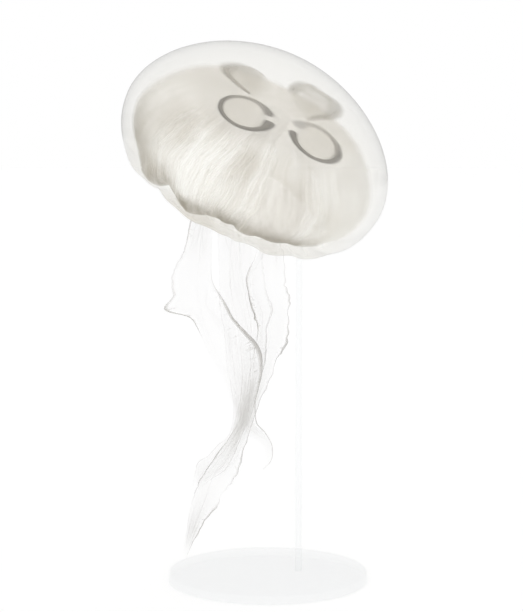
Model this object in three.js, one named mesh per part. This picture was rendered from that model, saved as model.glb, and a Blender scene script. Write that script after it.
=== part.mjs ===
// Moon jellyfish (Aurelia aurita), life size, swimming, held by a clear display stand.
//
// Millimetres, +Z up. The origin is the centre of the stand's underside. The camera-side view looks
// along +Y, with +X to the right. The bell is modelled about its own axis in a frame of its own, with
// local z = 0 at the margin, and that frame is then tipped. The oral arms hang in world directions.

import * as THREE from 'three';
import { mergeVertices } from 'three/addons/utils/BufferGeometryUtils.js';

// ---------------------------------------------------------------------------------------------
// Driving dimensions
// ---------------------------------------------------------------------------------------------

const GAP = 0.3; // clearance between two bodies that touch

const BELL_PLACE = { x: -24.8, y: 18, z: 277.3 }; // centre of the plane of the margin
const BELL_NOD = 20.5; // degrees, crown tipped towards the viewer
const BELL_LEAN = 26.5; // degrees, crown tipped to the right

// A dome of jelly: a superellipse above its widest ring, and a lip that curls in below it.
const OUTSIDE = { radius: 100, widest: 40, apex: 110, fullness: 1.83, lipRadius: 71, lipHeight: 0 };
const INSIDE = { radius: 90, widest: 36, apex: 101, fullness: 2.1, lipRadius: 64.5, lipHeight: 9 };
const CROWN_EDGE = { outside: 33, inside: 35 }; // degrees from the apex to the octants, see domePoint
const ROUND_STEPS = 48; // facets round the bell

const OCTANTS = 8; // the bell has eight of each: octants, lobes below them, notches between these
const OCTANT_SEAM = 0.003; // half the gap between two octants, in radians
const FIRST_NOTCH = 14; // degrees round the bell
const NOTCH_DEPTH = 0.035; // share of the lip that a notch takes away
const NOTCH_SHARPNESS = 6;
const MARGIN_RIPPLE = 1.2;
const RIPPLES_PER_LOBE = 2;

// A club: it points in from the notch, sits below the margin's edge and dips towards its tip.
const RHOPALIUM = { length: 4.2, endRadius: 0.6, swell: 0.5, setBack: 3.2, below: 1.6, dip: 1.8 };

// A flat floor with a cross on it, whose four corners run out between the gonads.
const STOMACH = { x: 3, y: -2, floorRadius: 26, floor: 71.5, shoulder: 73.4, top: 84, core: 7, arms: 9 };
const STOMACH_CORNERS = [0, 104, 220, 280]; // degrees from the x axis
const STOMACH_CORNER_SHARPNESS = 24;

// Each gonad is a ring round its own gastric pouch: centre, direction, half sizes, height at the centre,
// slope away from the bell's axis, and the middle and half width of the gap in the ring, in degrees.
const GASTRIC_SECTORS = [
  { x: -17.5, y: -41.6, turn: 176, reach: 17.6, width: 24.4, height: 75.3, slope: -0.09, mouth: 201, gap: 10 },
  { x: 34.5, y: -34.3, turn: -87, reach: 25.9, width: 17.5, height: 76.3, slope: -0.08, mouth: 262, gap: 10 },
  { x: 20.4, y: 25.7, turn: 108, reach: 22.9, width: 18.6, height: 82, slope: 0.2, mouth: 132, gap: 30 },
  { x: -25.3, y: 10.2, turn: 83, reach: 22.2, width: 18.4, height: 79.7, slope: 0.2, mouth: 258, gap: 42 },
];
const GONAD = { halfWidth: 2.1, halfHeight: 2 };
const GONAD_FOLDS = { depth: 0.6, count: 9, fade: 8 }; // flat over the first and last eighth
const GONAD_TIPS = { share: 0.45, fade: 6 }; // the band narrows over its first and last sixth
const POUCH = { roof: 7, floor: 2.4 }; // above and below the middle of the gonad's band

const MANUBRIUM = { top: 71.2, bottom: 35, topRadius: 10.5, neckRadius: 8.2, mouthRadius: 12 };
const NECK_LENGTH = 0.77; // share of the manubrium, from the mouth up, where it is narrower
const MANUBRIUM_SHIFT = 2; // how far the top of the manubrium is off the bell's axis
const LIP_CORNER = 3.4; // how far each of the four lips stands out of the round

// The four oral arms. A path starts at its corner of the mouth and names the points of the keel.
// left and right are the flaps' widths, turn the direction of the right flap in degrees from +X,
// cup the depth of the gutter for its width, all at equal steps from the mouth to the tip.
const ARM = { thickness: 1.5, edge: 1, across: 6, waves: 5, ruffle: 0.2, rightPhase: 2.2, root: 6 };
const ARM_PARTS = [
  { name: 'upper', from: 0, to: 0.36, stations: 8 },
  { name: 'middle', from: 0.36, to: 0.66, stations: 8 },
  { name: 'lower', from: 0.66, to: 1, stations: 10 },
];
const ORAL_ARMS = [
  {
    name: 'oral_arm_left',
    corner: 180,
    path: [
      [-33, 11, 289], [-42, 12, 270], [-47, 10.5, 254], [-49.5, 9, 231], [-51, 8, 210],
      [-47, 8, 188], [-38, 7.5, 166], [-26, 7, 141], [-18, 5.5, 122], [-12.5, 4.5, 110],
      [-5, 4, 104], [0.5, 4, 96], [0.5, 4, 87], [-4.5, 4, 81],
    ],
    left: [4, 6, 8, 15, 19, 17, 10, 11, 6, 4, 1.5],
    right: [4, 5, 7, 9, 14, 22, 28, 20, 8, 4, 1.5],
    turn: [60, 30, -5, -14, -18, -18, -14, -8, 5, 0, 0],
    cup: [0.5, 0.4, 0.3, 0.3, 0.3, 0.15, 0.05, 0, 0, 0.1, 0],
    flare: { side: -1, at: 0.475, reach: 9, span: 0.035 },
    phase: 0.4,
  },
  {
    name: 'oral_arm_right',
    corner: 0,
    path: [
      [-4, 10.5, 289], [-4.5, 14.5, 276], [-2, 19.5, 256], [1, 23, 234], [-1, 25, 210],
      [3, 25, 184], [-3, 23, 155], [-13.5, 17.5, 122], [-18, 14.5, 108], [-29, 12, 89],
      [-41, 11, 71], [-50, 10, 49], [-58, 9, 24], [-61, 9, 13],
    ],
    left: [4, 6, 8, 18, 12, 9, 5, 6.5, 11, 7, 1.2],
    right: [4, 6, 9, 15, 12, 9, 5, 8, 14, 8, 1.2],
    turn: [-60, -30, -16, -18, -18, -6, 4, 10, 22, 26, 10],
    cup: [0.4, 0.3, 0.1, -0.25, -0.3, -0.1, 0.1, 0.2, 0.35, 0.3, 0],
    flare: { side: 1, at: 0.36, reach: 2.5, span: 0.03 },
    phase: 2.1,
  },
  {
    name: 'oral_arm_front',
    corner: 270,
    path: [
      [-17.5, -2, 291], [-22, -3, 278], [-25, -6, 256], [-27, -9, 230], [-26, -10.5, 204],
      [-23, -10.5, 178], [-20, -8, 150], [-19.5, -5, 126], [-23, -3, 107], [-34, -2.5, 90],
      [-46, -4, 76], [-54, -6, 66],
    ],
    left: [4, 7, 10, 12, 12, 11, 9, 6, 4.5, 9, 3],
    right: [4, 7, 10, 13, 12, 10, 8, 6, 4.5, 8, 2],
    turn: [0, 0, 12, 20, 24, 18, 8, 0, 0, 14, 20],
    cup: [0.5, 0.5, 0.6, 0.7, 0.7, 0.7, 0.5, 0.3, 0.1, 0.2, 0],
    flare: { side: -1, at: 0.93, reach: 5, span: 0.03 },
    phase: 4.4,
  },
  {
    name: 'oral_arm_back',
    corner: 90,
    path: [
      [-13.5, 22, 299], [-18, 27, 286], [-21, 35, 262], [-21, 40, 236], [-18, 41, 210],
      [-13, 39, 184], [-10.5, 35, 160], [-13, 29, 136], [-18, 24.5, 116], [-23, 21.5, 102],
      [-26, 20.5, 92],
    ],
    left: [4, 7, 11, 14, 15, 13, 11, 9, 6, 5, 1.5],
    right: [4, 7, 11, 14, 15, 12, 11, 9, 6, 5, 1.5],
    turn: [0, 0, -10, -20, -24, -18, -6, 6, 8, 0, 0],
    cup: [-0.5, -0.5, -0.6, -0.7, -0.7, -0.7, -0.5, -0.4, -0.3, -0.2, 0],
    flare: { side: 1, at: 0.55, reach: 5, span: 0.04 },
    phase: 5.6,
  },
];

const STAND_BASE = { radius: 72, height: 7, edge: 1.2 };
const STAND_ROD = { x: 22, y: -3, radius: 2.5 };
const STAND_CUP = { radius: 5, height: 2.4 };

// ---------------------------------------------------------------------------------------------
// Materials
// ---------------------------------------------------------------------------------------------

const finish = (color, roughness, opacity) => new THREE.MeshStandardMaterial({
  color, roughness, metalness: 0, opacity, transparent: opacity < 1,
});

const JELLY = finish(0xf1efec, 0.2, 0.45);
const GASTRIC = finish(0xe6e0d8, 0.35, 0.7);
const GONAD_TISSUE = finish(0x8c8378, 0.45, 0.95);
const SENSE_ORGAN = finish(0xa79b88, 0.45, 0.9);
const ARM_FILM = finish(0xeeedeb, 0.3, 0.5);
const CLEAR_STAND = finish(0xeff3f4, 0.08, 0.35);

// ---------------------------------------------------------------------------------------------
// Helpers
// ---------------------------------------------------------------------------------------------

const radians = THREE.MathUtils.degToRad;
const lerp = THREE.MathUtils.lerp;

const bell = new THREE.Group();
bell.position.set(BELL_PLACE.x, BELL_PLACE.y, BELL_PLACE.z);
bell.rotation.set(radians(BELL_NOD), radians(BELL_LEAN), 0, 'YXZ');
bell.updateMatrixWorld(true);

const jellyfish = new THREE.Group();
jellyfish.add(bell);

function addMesh(parent, name, geometry, material) {
  const mesh = new THREE.Mesh(geometry, material);
  mesh.name = name;
  parent.add(mesh);
}

// Smooth value at t (0 to 1) of a list of values given at equal steps.
function valueAlong(values, t) {
  const curve = new THREE.SplineCurve(values.map((value, i) => new THREE.Vector2(i, value)));
  return curve.getPoint(t).y;
}

// A closed three.js shape with every vertex sent through place(x, y, z, point).
function reshape(geometry, place) {
  geometry.deleteAttribute('normal');
  geometry.deleteAttribute('uv');
  const solid = mergeVertices(geometry, 1e-5);
  const vertices = solid.attributes.position;
  const point = new THREE.Vector3();
  for (let i = 0; i < vertices.count; i += 1) {
    place(vertices.getX(i), vertices.getY(i), vertices.getZ(i), point);
    vertices.setXYZ(i, point.x, point.y, point.z);
  }
  solid.computeVertexNormals();
  return solid;
}

// A block of cells, as place(u, v, w) with each from 0 to 1.
function block(cells, place) {
  const box = new THREE.BoxGeometry(1, 1, 1, cells.u, cells.v, cells.w);
  return reshape(box, (x, y, z, point) => place(x + 0.5, y + 0.5, z + 0.5, point));
}

// A rod with closed ends, as place(a, b, v): a and b in the unit disc, v from 0 to 1 along it.
function rod(round, steps, place) {
  const cylinder = new THREE.CylinderGeometry(1, 1, 1, round, steps);
  return reshape(cylinder, (x, y, z, point) => place(z, x, y + 0.5, point));
}

// A thin closed sheet: a plane grid laid on surface(u, v) and given a thickness both ways.
function membrane(cells, surface, thickness) {
  const grid = new THREE.PlaneGeometry(1, 1, cells.u, cells.v);
  const uv = grid.attributes.uv;
  const step = 0.01; // for slopes, as a share of the sheet
  const along = new THREE.Vector3();
  const across = new THREE.Vector3();
  const normal = new THREE.Vector3();
  const positions = [];
  for (const side of [1, -1]) {
    for (let i = 0; i < uv.count; i += 1) {
      const u = uv.getX(i);
      const v = uv.getY(i);
      across.subVectors(surface(Math.min(u + step, 1), v), surface(Math.max(u - step, 0), v));
      along.subVectors(surface(u, Math.min(v + step, 1)), surface(u, Math.max(v - step, 0)));
      normal.crossVectors(across, along).normalize().multiplyScalar((side * thickness(u)) / 2);
      positions.push(...surface(u, v).add(normal).toArray());
    }
  }
  const front = Array.from(grid.index.array);
  const back = front.map((_, i) => front[i - (i % 3) + 2 - (i % 3)] + uv.count);
  const row = cells.u + 1;
  const bottom = cells.v * row;
  const rim = [];
  for (let i = 0; i < cells.u; i += 1) rim.push(bottom + i);
  for (let j = cells.v; j > 0; j -= 1) rim.push(j * row + cells.u);
  for (let i = cells.u; i > 0; i -= 1) rim.push(i);
  for (let j = 0; j < cells.v; j += 1) rim.push(j * row);
  const wall = rim.flatMap((p, i) => {
    const q = rim[(i + 1) % rim.length];
    return [q, p, p + uv.count, q, p + uv.count, q + uv.count];
  });
  const sheet = new THREE.BufferGeometry();
  sheet.setAttribute('position', new THREE.Float32BufferAttribute(positions, 3));
  sheet.setIndex([...front, ...back, ...wall]);
  sheet.computeVertexNormals();
  return sheet;
}

// ---------------------------------------------------------------------------------------------
// The bell's profile: radius and height of its outside and inside
// ---------------------------------------------------------------------------------------------

// Above the widest ring: angle runs from 0 at the apex to 90 degrees at the widest ring.
function domePoint(shape, angle) {
  const power = 2 / shape.fullness;
  return new THREE.Vector2(
    shape.radius * Math.sin(angle) ** power,
    shape.widest + (shape.apex - shape.widest) * Math.cos(angle) ** power,
  );
}

// Below the widest ring: share runs from 0 there to 1 at the edge of the lip.
function lipPoint(shape, share) {
  return new THREE.Vector2(
    shape.lipRadius + (shape.radius - shape.lipRadius) * Math.sqrt(1 - share * share),
    lerp(shape.widest, shape.lipHeight, share),
  );
}

// Height of the inside of the crown over a point at this radius.
function roofHeight(radius) {
  const angle = Math.asin(Math.min(radius / INSIDE.radius, 1) ** (INSIDE.fullness / 2));
  return domePoint(INSIDE, angle).y;
}

// ---------------------------------------------------------------------------------------------
// Bell: crown, octants, lobes of the margin, sense organs
// ---------------------------------------------------------------------------------------------

// The crown: the part of the dome over the stomach.
function crownGeometry() {
  const steps = { outside: 5, inside: 3 };
  const profile = [];
  for (let i = 0; i <= steps.inside; i += 1) {
    profile.push(domePoint(INSIDE, radians(CROWN_EDGE.inside) * (i / steps.inside)));
  }
  for (let i = steps.outside; i >= 0; i -= 1) {
    profile.push(domePoint(OUTSIDE, radians(CROWN_EDGE.outside) * (i / steps.outside)));
  }
  const lathe = new THREE.LatheGeometry(profile, ROUND_STEPS, radians(FIRST_NOTCH));
  lathe.rotateX(Math.PI / 2);
  return reshape(lathe, (x, y, z, point) => point.set(x, y, z));
}

// One eighth of the bell's wall, from the crown's edge (v = 0) down to the widest ring (v = 1).
function octantGeometry(start, sweep) {
  return block({ u: ROUND_STEPS / OCTANTS, v: 4, w: 1 }, (u, v, w, point) => {
    const angle = start + lerp(OCTANT_SEAM, sweep - OCTANT_SEAM, u);
    const outside = domePoint(OUTSIDE, lerp(radians(CROWN_EDGE.outside), Math.PI / 2, v));
    const inside = domePoint(INSIDE, lerp(radians(CROWN_EDGE.inside), Math.PI / 2, v));
    const section = outside.lerp(inside, w);
    const radius = section.x + (v === 0 ? GAP : 0);
    point.set(radius * Math.cos(angle), radius * Math.sin(angle), section.y);
  });
}

// How far a point of the margin is from the middle of its lobe: 0 there, 1 at either notch.
const awayFromMiddle = (u) => Math.abs(2 * u - 1);

// A lobe hangs below the widest ring and curls in to the margin, where it ripples.
function lobeGeometry(start, sweep) {
  return block({ u: ROUND_STEPS / OCTANTS, v: 5, w: 1 }, (u, v, w, point) => {
    const angle = start + lerp(OCTANT_SEAM, sweep - OCTANT_SEAM, u);
    const notch = NOTCH_DEPTH * awayFromMiddle(u) ** NOTCH_SHARPNESS;
    const ripple = MARGIN_RIPPLE * Math.sin(2 * Math.PI * RIPPLES_PER_LOBE * u) * v * v;
    const section = lipPoint(OUTSIDE, v * (1 - notch)).lerp(lipPoint(INSIDE, v), w);
    const seam = v === 0 ? GAP : 0;
    point.set(section.x * Math.cos(angle), section.x * Math.sin(angle), section.y - seam + ripple);
  });
}

function rhopaliumGeometry(angle) {
  const edge = lipPoint(OUTSIDE, 1 - NOTCH_DEPTH);
  const from = edge.x - RHOPALIUM.setBack;
  return rod(6, 3, (a, b, v, point) => {
    const thick = RHOPALIUM.endRadius + RHOPALIUM.swell * Math.sin(Math.PI * v);
    const radius = from - RHOPALIUM.length * v;
    const height = edge.y - RHOPALIUM.below - RHOPALIUM.dip * v;
    const side = b * thick;
    point.set(
      radius * Math.cos(angle) - side * Math.sin(angle),
      radius * Math.sin(angle) + side * Math.cos(angle),
      height + a * thick,
    );
  });
}

addMesh(bell, 'bell_crown', crownGeometry(), JELLY);
for (let i = 0; i < OCTANTS; i += 1) {
  const sweep = (2 * Math.PI) / OCTANTS;
  const start = radians(FIRST_NOTCH) + i * sweep;
  addMesh(bell, `bell_octant_${i + 1}`, octantGeometry(start, sweep), JELLY);
  addMesh(bell, `margin_lobe_${i + 1}`, lobeGeometry(start, sweep), JELLY);
  addMesh(bell, `rhopalium_${i + 1}`, rhopaliumGeometry(start), SENSE_ORGAN);
}

// ---------------------------------------------------------------------------------------------
// Under the crown: stomach, gastric pouches, gonads, manubrium
// ---------------------------------------------------------------------------------------------

// Each gonad lies on its own sloping plane, and stays clear of the roof.
function gonadHeight(sector, point) {
  const fromAxis = Math.hypot(sector.x, sector.y);
  const outward = ((point.x - sector.x) * sector.x + (point.y - sector.y) * sector.y) / fromAxis;
  const roof = roofHeight(Math.hypot(point.x, point.y) + GONAD.halfWidth);
  return Math.min(sector.height + sector.slope * outward, roof - GONAD.halfHeight - 4 * GAP);
}

function stomachGeometry() {
  const levels = [STOMACH.floor, STOMACH.shoulder, STOMACH.shoulder + GAP, STOMACH.top];
  return rod(36, levels.length - 1, (a, b, v, point) => {
    const level = Math.round(v * (levels.length - 1));
    const out = Math.hypot(a, b);
    const angle = Math.atan2(b, a);
    const facing = STOMACH_CORNERS.map((corner) => Math.max(0, Math.cos(angle - radians(corner))));
    const corner = Math.max(...facing) ** STOMACH_CORNER_SHARPNESS;
    const reach = level < 2 ? STOMACH.floorRadius : STOMACH.core + STOMACH.arms * corner;
    point.set(
      STOMACH.x + out * reach * Math.cos(angle),
      STOMACH.y + out * reach * Math.sin(angle),
      levels[level],
    );
  });
}

// A point of a gastric sector: polar about its centre, in shares of its half sizes.
function sectorPoint(sector, share, angle, inset, point) {
  const turn = radians(sector.turn);
  const along = (sector.reach - inset) * share * Math.cos(angle);
  const across = (sector.width - inset) * share * Math.sin(angle);
  point.x = sector.x + along * Math.cos(turn) - across * Math.sin(turn);
  point.y = sector.y + along * Math.sin(turn) + across * Math.cos(turn);
  return point;
}

function pouchGeometry(sector) {
  const inset = GONAD.halfWidth + GONAD_FOLDS.depth + 2 * GAP;
  const ball = new THREE.SphereGeometry(1, 18, 7);
  return reshape(ball, (x, y, z, point) => {
    const share = Math.hypot(x, z);
    sectorPoint(sector, share, Math.atan2(x, z), inset, point);
    const middle = gonadHeight(sector, point);
    const roof = Math.min(middle + POUCH.roof, roofHeight(Math.hypot(point.x, point.y)) - 2 * GAP);
    point.z = y > 0 ? lerp(middle, roof, y) : middle + POUCH.floor * y;
  });
}

// 0 at either end of a band, and 1 from the given fraction of its length inwards.
const awayFromEnds = (v, fade) => Math.min(1, fade * v, fade * (1 - v));

function gonadGeometry(sector) {
  const start = radians(sector.mouth + sector.gap);
  const sweep = radians(360 - 2 * sector.gap);
  const centre = new THREE.Vector3();
  return rod(6, 22, (a, b, v, point) => {
    const angle = start + sweep * v;
    const taper = lerp(GONAD_TIPS.share, 1, awayFromEnds(v, GONAD_TIPS.fade));
    const wave = Math.sin(2 * Math.PI * GONAD_FOLDS.count * v);
    const fold = GONAD_FOLDS.depth * wave * awayFromEnds(v, GONAD_FOLDS.fade);
    sectorPoint(sector, 1, angle, fold, centre);
    const out = GONAD.halfWidth * taper * b;
    sectorPoint(sector, 1, angle, fold - out, point);
    point.z = gonadHeight(sector, centre) + GONAD.halfHeight * taper * a;
  });
}

function manubriumGeometry() {
  return rod(24, 6, (a, b, v, point) => {
    const neck = Math.sin(Math.PI * Math.min(1, v / NECK_LENGTH));
    const straight = lerp(MANUBRIUM.mouthRadius, MANUBRIUM.topRadius, v);
    const radius = lerp(straight, MANUBRIUM.neckRadius, neck);
    const angle = Math.atan2(b, a);
    const lips = LIP_CORNER * (1 - v) ** 2 * Math.cos(4 * angle);
    const size = radius + lips;
    point.set(
      a * size + MANUBRIUM_SHIFT * v,
      b * size,
      lerp(MANUBRIUM.bottom, MANUBRIUM.top, v),
    );
  });
}

addMesh(bell, 'stomach', stomachGeometry(), GASTRIC);
GASTRIC_SECTORS.forEach((sector, i) => {
  addMesh(bell, `gastric_pouch_${i + 1}`, pouchGeometry(sector), GASTRIC);
  addMesh(bell, `gonad_${i + 1}`, gonadGeometry(sector), GONAD_TISSUE);
});
addMesh(bell, 'manubrium', manubriumGeometry(), ARM_FILM);

// ---------------------------------------------------------------------------------------------
// Oral arms: a keel with a ruffled flap on either side
// ---------------------------------------------------------------------------------------------

// The keel of an arm leaves its corner of the mouth square to the mouth, then follows its path.
function armKeel(arm) {
  const corner = radians(arm.corner);
  const start = (depth) => new THREE.Vector3(
    MANUBRIUM.mouthRadius * Math.cos(corner),
    MANUBRIUM.mouthRadius * Math.sin(corner),
    MANUBRIUM.bottom - depth,
  ).applyMatrix4(bell.matrixWorld);
  const path = arm.path.map((place) => new THREE.Vector3(...place));
  return new THREE.CatmullRomCurve3([start(2 * GAP), start(ARM.root), ...path], false, 'centripetal');
}

function armSurface(arm, keel, from, to) {
  const level = new THREE.Vector3();
  return (u, v) => {
    const t = lerp(from, to, v);
    const centre = keel.getPointAt(t);
    const tangent = keel.getTangentAt(t);
    const turn = radians(valueAlong(arm.turn, t));
    level.set(Math.cos(turn), Math.sin(turn), 0);
    const side = level.clone().addScaledVector(tangent, -level.dot(tangent)).normalize();
    const depth = new THREE.Vector3().crossVectors(tangent, side);
    const out = 2 * u - 1;
    const isLeft = out < 0;
    const flare = Math.sign(out) === arm.flare.side
      ? arm.flare.reach * Math.exp(-(((t - arm.flare.at) / arm.flare.span) ** 2))
      : 0;
    const width = valueAlong(isLeft ? arm.left : arm.right, t) + flare;
    const wave = Math.sin(2 * Math.PI * ARM.waves * t + arm.phase + (isLeft ? 0 : ARM.rightPhase));
    const rise = width * out * out * (valueAlong(arm.cup, t) + ARM.ruffle * wave);
    return centre.addScaledVector(side, width * out).addScaledVector(depth, rise);
  };
}

for (const arm of ORAL_ARMS) {
  const keel = armKeel(arm);
  const trim = GAP / keel.getLength();
  ARM_PARTS.forEach((part) => {
    const from = part.from + (part.from > 0 ? trim : 0);
    const to = part.to - (part.to < 1 ? trim : 0);
    const cells = { u: ARM.across, v: part.stations };
    const thickness = (u) => lerp(ARM.thickness, ARM.edge, Math.abs(2 * u - 1));
    const sheet = membrane(cells, armSurface(arm, keel, from, to), thickness);
    addMesh(jellyfish, `${arm.name}_${part.name}`, sheet, ARM_FILM);
  });
}

// ---------------------------------------------------------------------------------------------
// Display stand
// ---------------------------------------------------------------------------------------------

function standBaseGeometry() {
  const { radius, height, edge } = STAND_BASE;
  const profile = [
    new THREE.Vector2(0, 0),
    new THREE.Vector2(radius, 0),
    new THREE.Vector2(radius, height - edge),
    new THREE.Vector2(radius - edge, height),
    new THREE.Vector2(0, height),
  ];
  const lathe = new THREE.LatheGeometry(profile, ROUND_STEPS);
  lathe.rotateX(Math.PI / 2);
  return reshape(lathe, (x, y, z, point) => point.set(x, y, z));
}

// The pad lies against the floor of the stomach, square to the bell, over the middle of the rod.
const cupTop = STOMACH.floor - GAP;
const toBell = bell.matrixWorld.clone().invert();

// The point of the rod's own line that lies at this height in the bell's frame.
function rodPointAt(bellHeight) {
  const low = new THREE.Vector3(STAND_ROD.x, STAND_ROD.y, 0).applyMatrix4(toBell);
  const high = new THREE.Vector3(STAND_ROD.x, STAND_ROD.y, 1).applyMatrix4(toBell);
  return low.lerp(high, (bellHeight - low.z) / (high.z - low.z));
}

function standCupGeometry() {
  const centre = rodPointAt(cupTop - STAND_CUP.height / 2);
  return rod(20, 1, (a, b, v, point) => point.set(
    centre.x + STAND_CUP.radius * a,
    centre.y + STAND_CUP.radius * b,
    cupTop - STAND_CUP.height * (1 - v),
  ));
}

// The rod stands on the base, and its top is cut to lie along the underside of the pad.
function standRodGeometry() {
  const underside = cupTop - STAND_CUP.height - GAP;
  const seat = rodPointAt(underside).applyMatrix4(bell.matrixWorld);
  const axis = new THREE.Vector3(0, 0, 1).transformDirection(bell.matrixWorld);
  return rod(16, 1, (a, b, v, point) => {
    const x = STAND_ROD.radius * a;
    const y = STAND_ROD.radius * b;
    const top = seat.z - (axis.x * x + axis.y * y) / axis.z;
    point.set(STAND_ROD.x + x, STAND_ROD.y + y, lerp(STAND_BASE.height + GAP, top, v));
  });
}

addMesh(jellyfish, 'stand_base', standBaseGeometry(), CLEAR_STAND);
addMesh(jellyfish, 'stand_rod', standRodGeometry(), CLEAR_STAND);
addMesh(bell, 'stand_pad', standCupGeometry(), CLEAR_STAND);

export default jellyfish;
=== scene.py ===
# Moon jellyfish, life size, swimming over a clear display stand.
#
# Metres, +Z up, in the row's own frame: the origin is the centre of the stand's underside, +X is to the
# viewer's right and +Y away from the viewer. The bell is modelled about its own axis, with local z = 0 at
# its margin, and each of its pieces is tipped into place when it is done.

import logging
import math
from dataclasses import dataclass, replace
from enum import Enum
from functools import reduce
from typing import Callable, Iterable, Mapping, Sequence

import bmesh
import bpy
from mathutils import Matrix, Vector, noise


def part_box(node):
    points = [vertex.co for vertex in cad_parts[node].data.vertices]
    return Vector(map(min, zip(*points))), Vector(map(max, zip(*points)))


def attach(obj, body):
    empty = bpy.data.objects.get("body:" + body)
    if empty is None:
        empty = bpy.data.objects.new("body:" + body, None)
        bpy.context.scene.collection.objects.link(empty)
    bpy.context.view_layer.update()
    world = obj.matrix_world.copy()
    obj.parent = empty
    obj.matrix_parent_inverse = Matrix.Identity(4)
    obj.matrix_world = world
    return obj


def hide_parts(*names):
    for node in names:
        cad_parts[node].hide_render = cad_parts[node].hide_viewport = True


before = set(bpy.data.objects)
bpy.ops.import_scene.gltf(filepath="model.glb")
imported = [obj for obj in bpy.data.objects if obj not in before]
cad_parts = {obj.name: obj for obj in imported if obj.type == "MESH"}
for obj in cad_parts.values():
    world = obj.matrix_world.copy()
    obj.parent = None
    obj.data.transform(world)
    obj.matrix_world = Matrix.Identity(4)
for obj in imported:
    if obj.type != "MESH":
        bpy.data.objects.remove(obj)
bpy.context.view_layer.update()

MM = 0.001
TURN = 2 * math.pi
QUARTER = math.pi / 2
SEAM = 1e-6  # vertices nearer than this are one
BELL_RADIUS = 100 * MM
JELLY_IOR = 1.36
OFF_AXIS = 0.001  # keeps a division by the distance from the bell's axis off zero
LOCAL = "local_place"  # attribute: a vertex's place in the bell's own frame, in bell radii
RIBBON = "ribbon_place"  # attribute: (share across, share along, arm number) of an oral arm
WEIGHT = "ribbon_weight"  # attribute: (cover of the film, strength of its hem, 0)
BODY = "body"  # attribute: (how dense the tissue is, 0, 0); on the skin, 1 outside and 0 inside

Colour = tuple[float, float, float]
Pair = tuple[float, float]
Row = tuple[float, ...]

log = logging.getLogger("jellyfish")


class Slot(Enum):
    """Material slots of the record."""

    JELLY = "jelly"
    GASTRIC = "gastric"
    GONAD = "gonad"
    SENSE_ORGAN = "sense_organ"
    ARM_FILM = "arm_film"
    ACRYLIC = "clear_acrylic"


# ---- Small maths ----


def lerp(a: float, b: float, share: float) -> float:
    """Value between a and b."""
    return a + (b - a) * share


def smooth_step(low: float, high: float, value: float) -> float:
    """0 below low, 1 above high, and an S-curve between."""
    share = min(max((value - low) / (high - low), 0.0), 1.0)
    return share * share * (3 - 2 * share)


def soft_least(a: float, b: float, blend: float) -> float:
    """The lesser of two values, rounded over where they are within about blend of each other."""
    return -blend * math.log(math.exp(-a / blend) + math.exp(-b / blend))


def hill(value: float, centre: float, span: float) -> float:
    """A bell curve of height 1."""
    return math.exp(-(((value - centre) / span) ** 2))


def hermite(a: float, b: float, slope_a: float, slope_b: float, w: float) -> float:
    """Cubic between two values.

    Args:
        a: the first value.
        b: the second value.
        slope_a: the slope at a.
        slope_b: the slope at b.
        w: 0 at a and 1 at b.

    Returns:
        The value at w.
    """
    cubic = 2 * a - 2 * b + slope_a + slope_b
    square = -3 * a + 3 * b - 2 * slope_a - slope_b
    return ((cubic * w + square) * w + slope_a) * w + a


def value_along(values: Sequence[float], share: float) -> float:
    """Smooth value of a list given at equal steps.

    Args:
        values: the values.
        share: 0 at the first value, 1 at the last.

    Returns:
        The value of the curve through them.
    """
    last = len(values) - 1
    place = min(max(share, 0.0), 1.0) * last
    i = min(int(place), last - 1)
    before = values[max(i - 1, 0)]
    after = values[min(i + 2, last)]
    slope_a = (values[i + 1] - before) / 2
    slope_b = (after - values[i]) / 2
    return hermite(values[i], values[i + 1], slope_a, slope_b, place - i)


class Keel:
    """A smooth curve through points, read by its share of the length."""

    SAMPLES = 600

    def __init__(self, points: Sequence[Vector]) -> None:
        """Samples the centripetal curve through the points.

        Args:
            points: the points, in order.
        """
        ends = [2 * points[0] - points[1], *points, 2 * points[-1] - points[-2]]
        self.places: list[Vector] = []
        spans = len(points) - 1
        for n in range(self.SAMPLES + 1):
            whole = min(int(n / self.SAMPLES * spans), spans - 1)
            self.places.append(self._between(ends[whole : whole + 4], n / self.SAMPLES * spans - whole))
        self.reach = [0.0]
        for a, b in zip(self.places, self.places[1:]):
            self.reach.append(self.reach[-1] + (b - a).length)
        self.length = self.reach[-1]

    @staticmethod
    def _between(four: Sequence[Vector], w: float) -> Vector:
        """Point between the middle two of four points.

        Args:
            four: the points.
            w: 0 at the second and 1 at the third.

        Returns:
            The point of the centripetal curve.
        """
        d0, d1, d2 = (math.sqrt((b - a).length) for a, b in zip(four, four[1:]))
        a, b, c, d = four
        slope_b = ((b - a) / d0 - (c - a) / (d0 + d1) + (c - b) / d1) * d1
        slope_c = ((c - b) / d1 - (d - b) / (d1 + d2) + (d - c) / d2) * d1
        return Vector([hermite(b[k], c[k], slope_b[k], slope_c[k], w) for k in range(3)])

    def _sample(self, share: float) -> tuple[int, float]:
        """Finds a share of the length among the samples.

        Args:
            share: 0 at the start and 1 at the end.

        Returns:
            The sample before it, and how far it is on the way to the next one.
        """
        goal = min(max(share, 0.0), 1.0) * self.length
        low, high = 0, len(self.reach) - 1
        while high - low > 1:
            middle = (low + high) // 2
            if self.reach[middle] <= goal:
                low = middle
            else:
                high = middle
        return low, (goal - self.reach[low]) / (self.reach[high] - self.reach[low])

    def point(self, share: float) -> Vector:
        """Point at a share of the length."""
        i, w = self._sample(share)
        return self.places[i].lerp(self.places[i + 1], w)

    def tangent(self, share: float) -> Vector:
        """Direction at a share of the length."""
        step = 0.004
        return (self.point(share + step) - self.point(share - step)).normalized()


# ---- Making meshes ----


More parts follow.
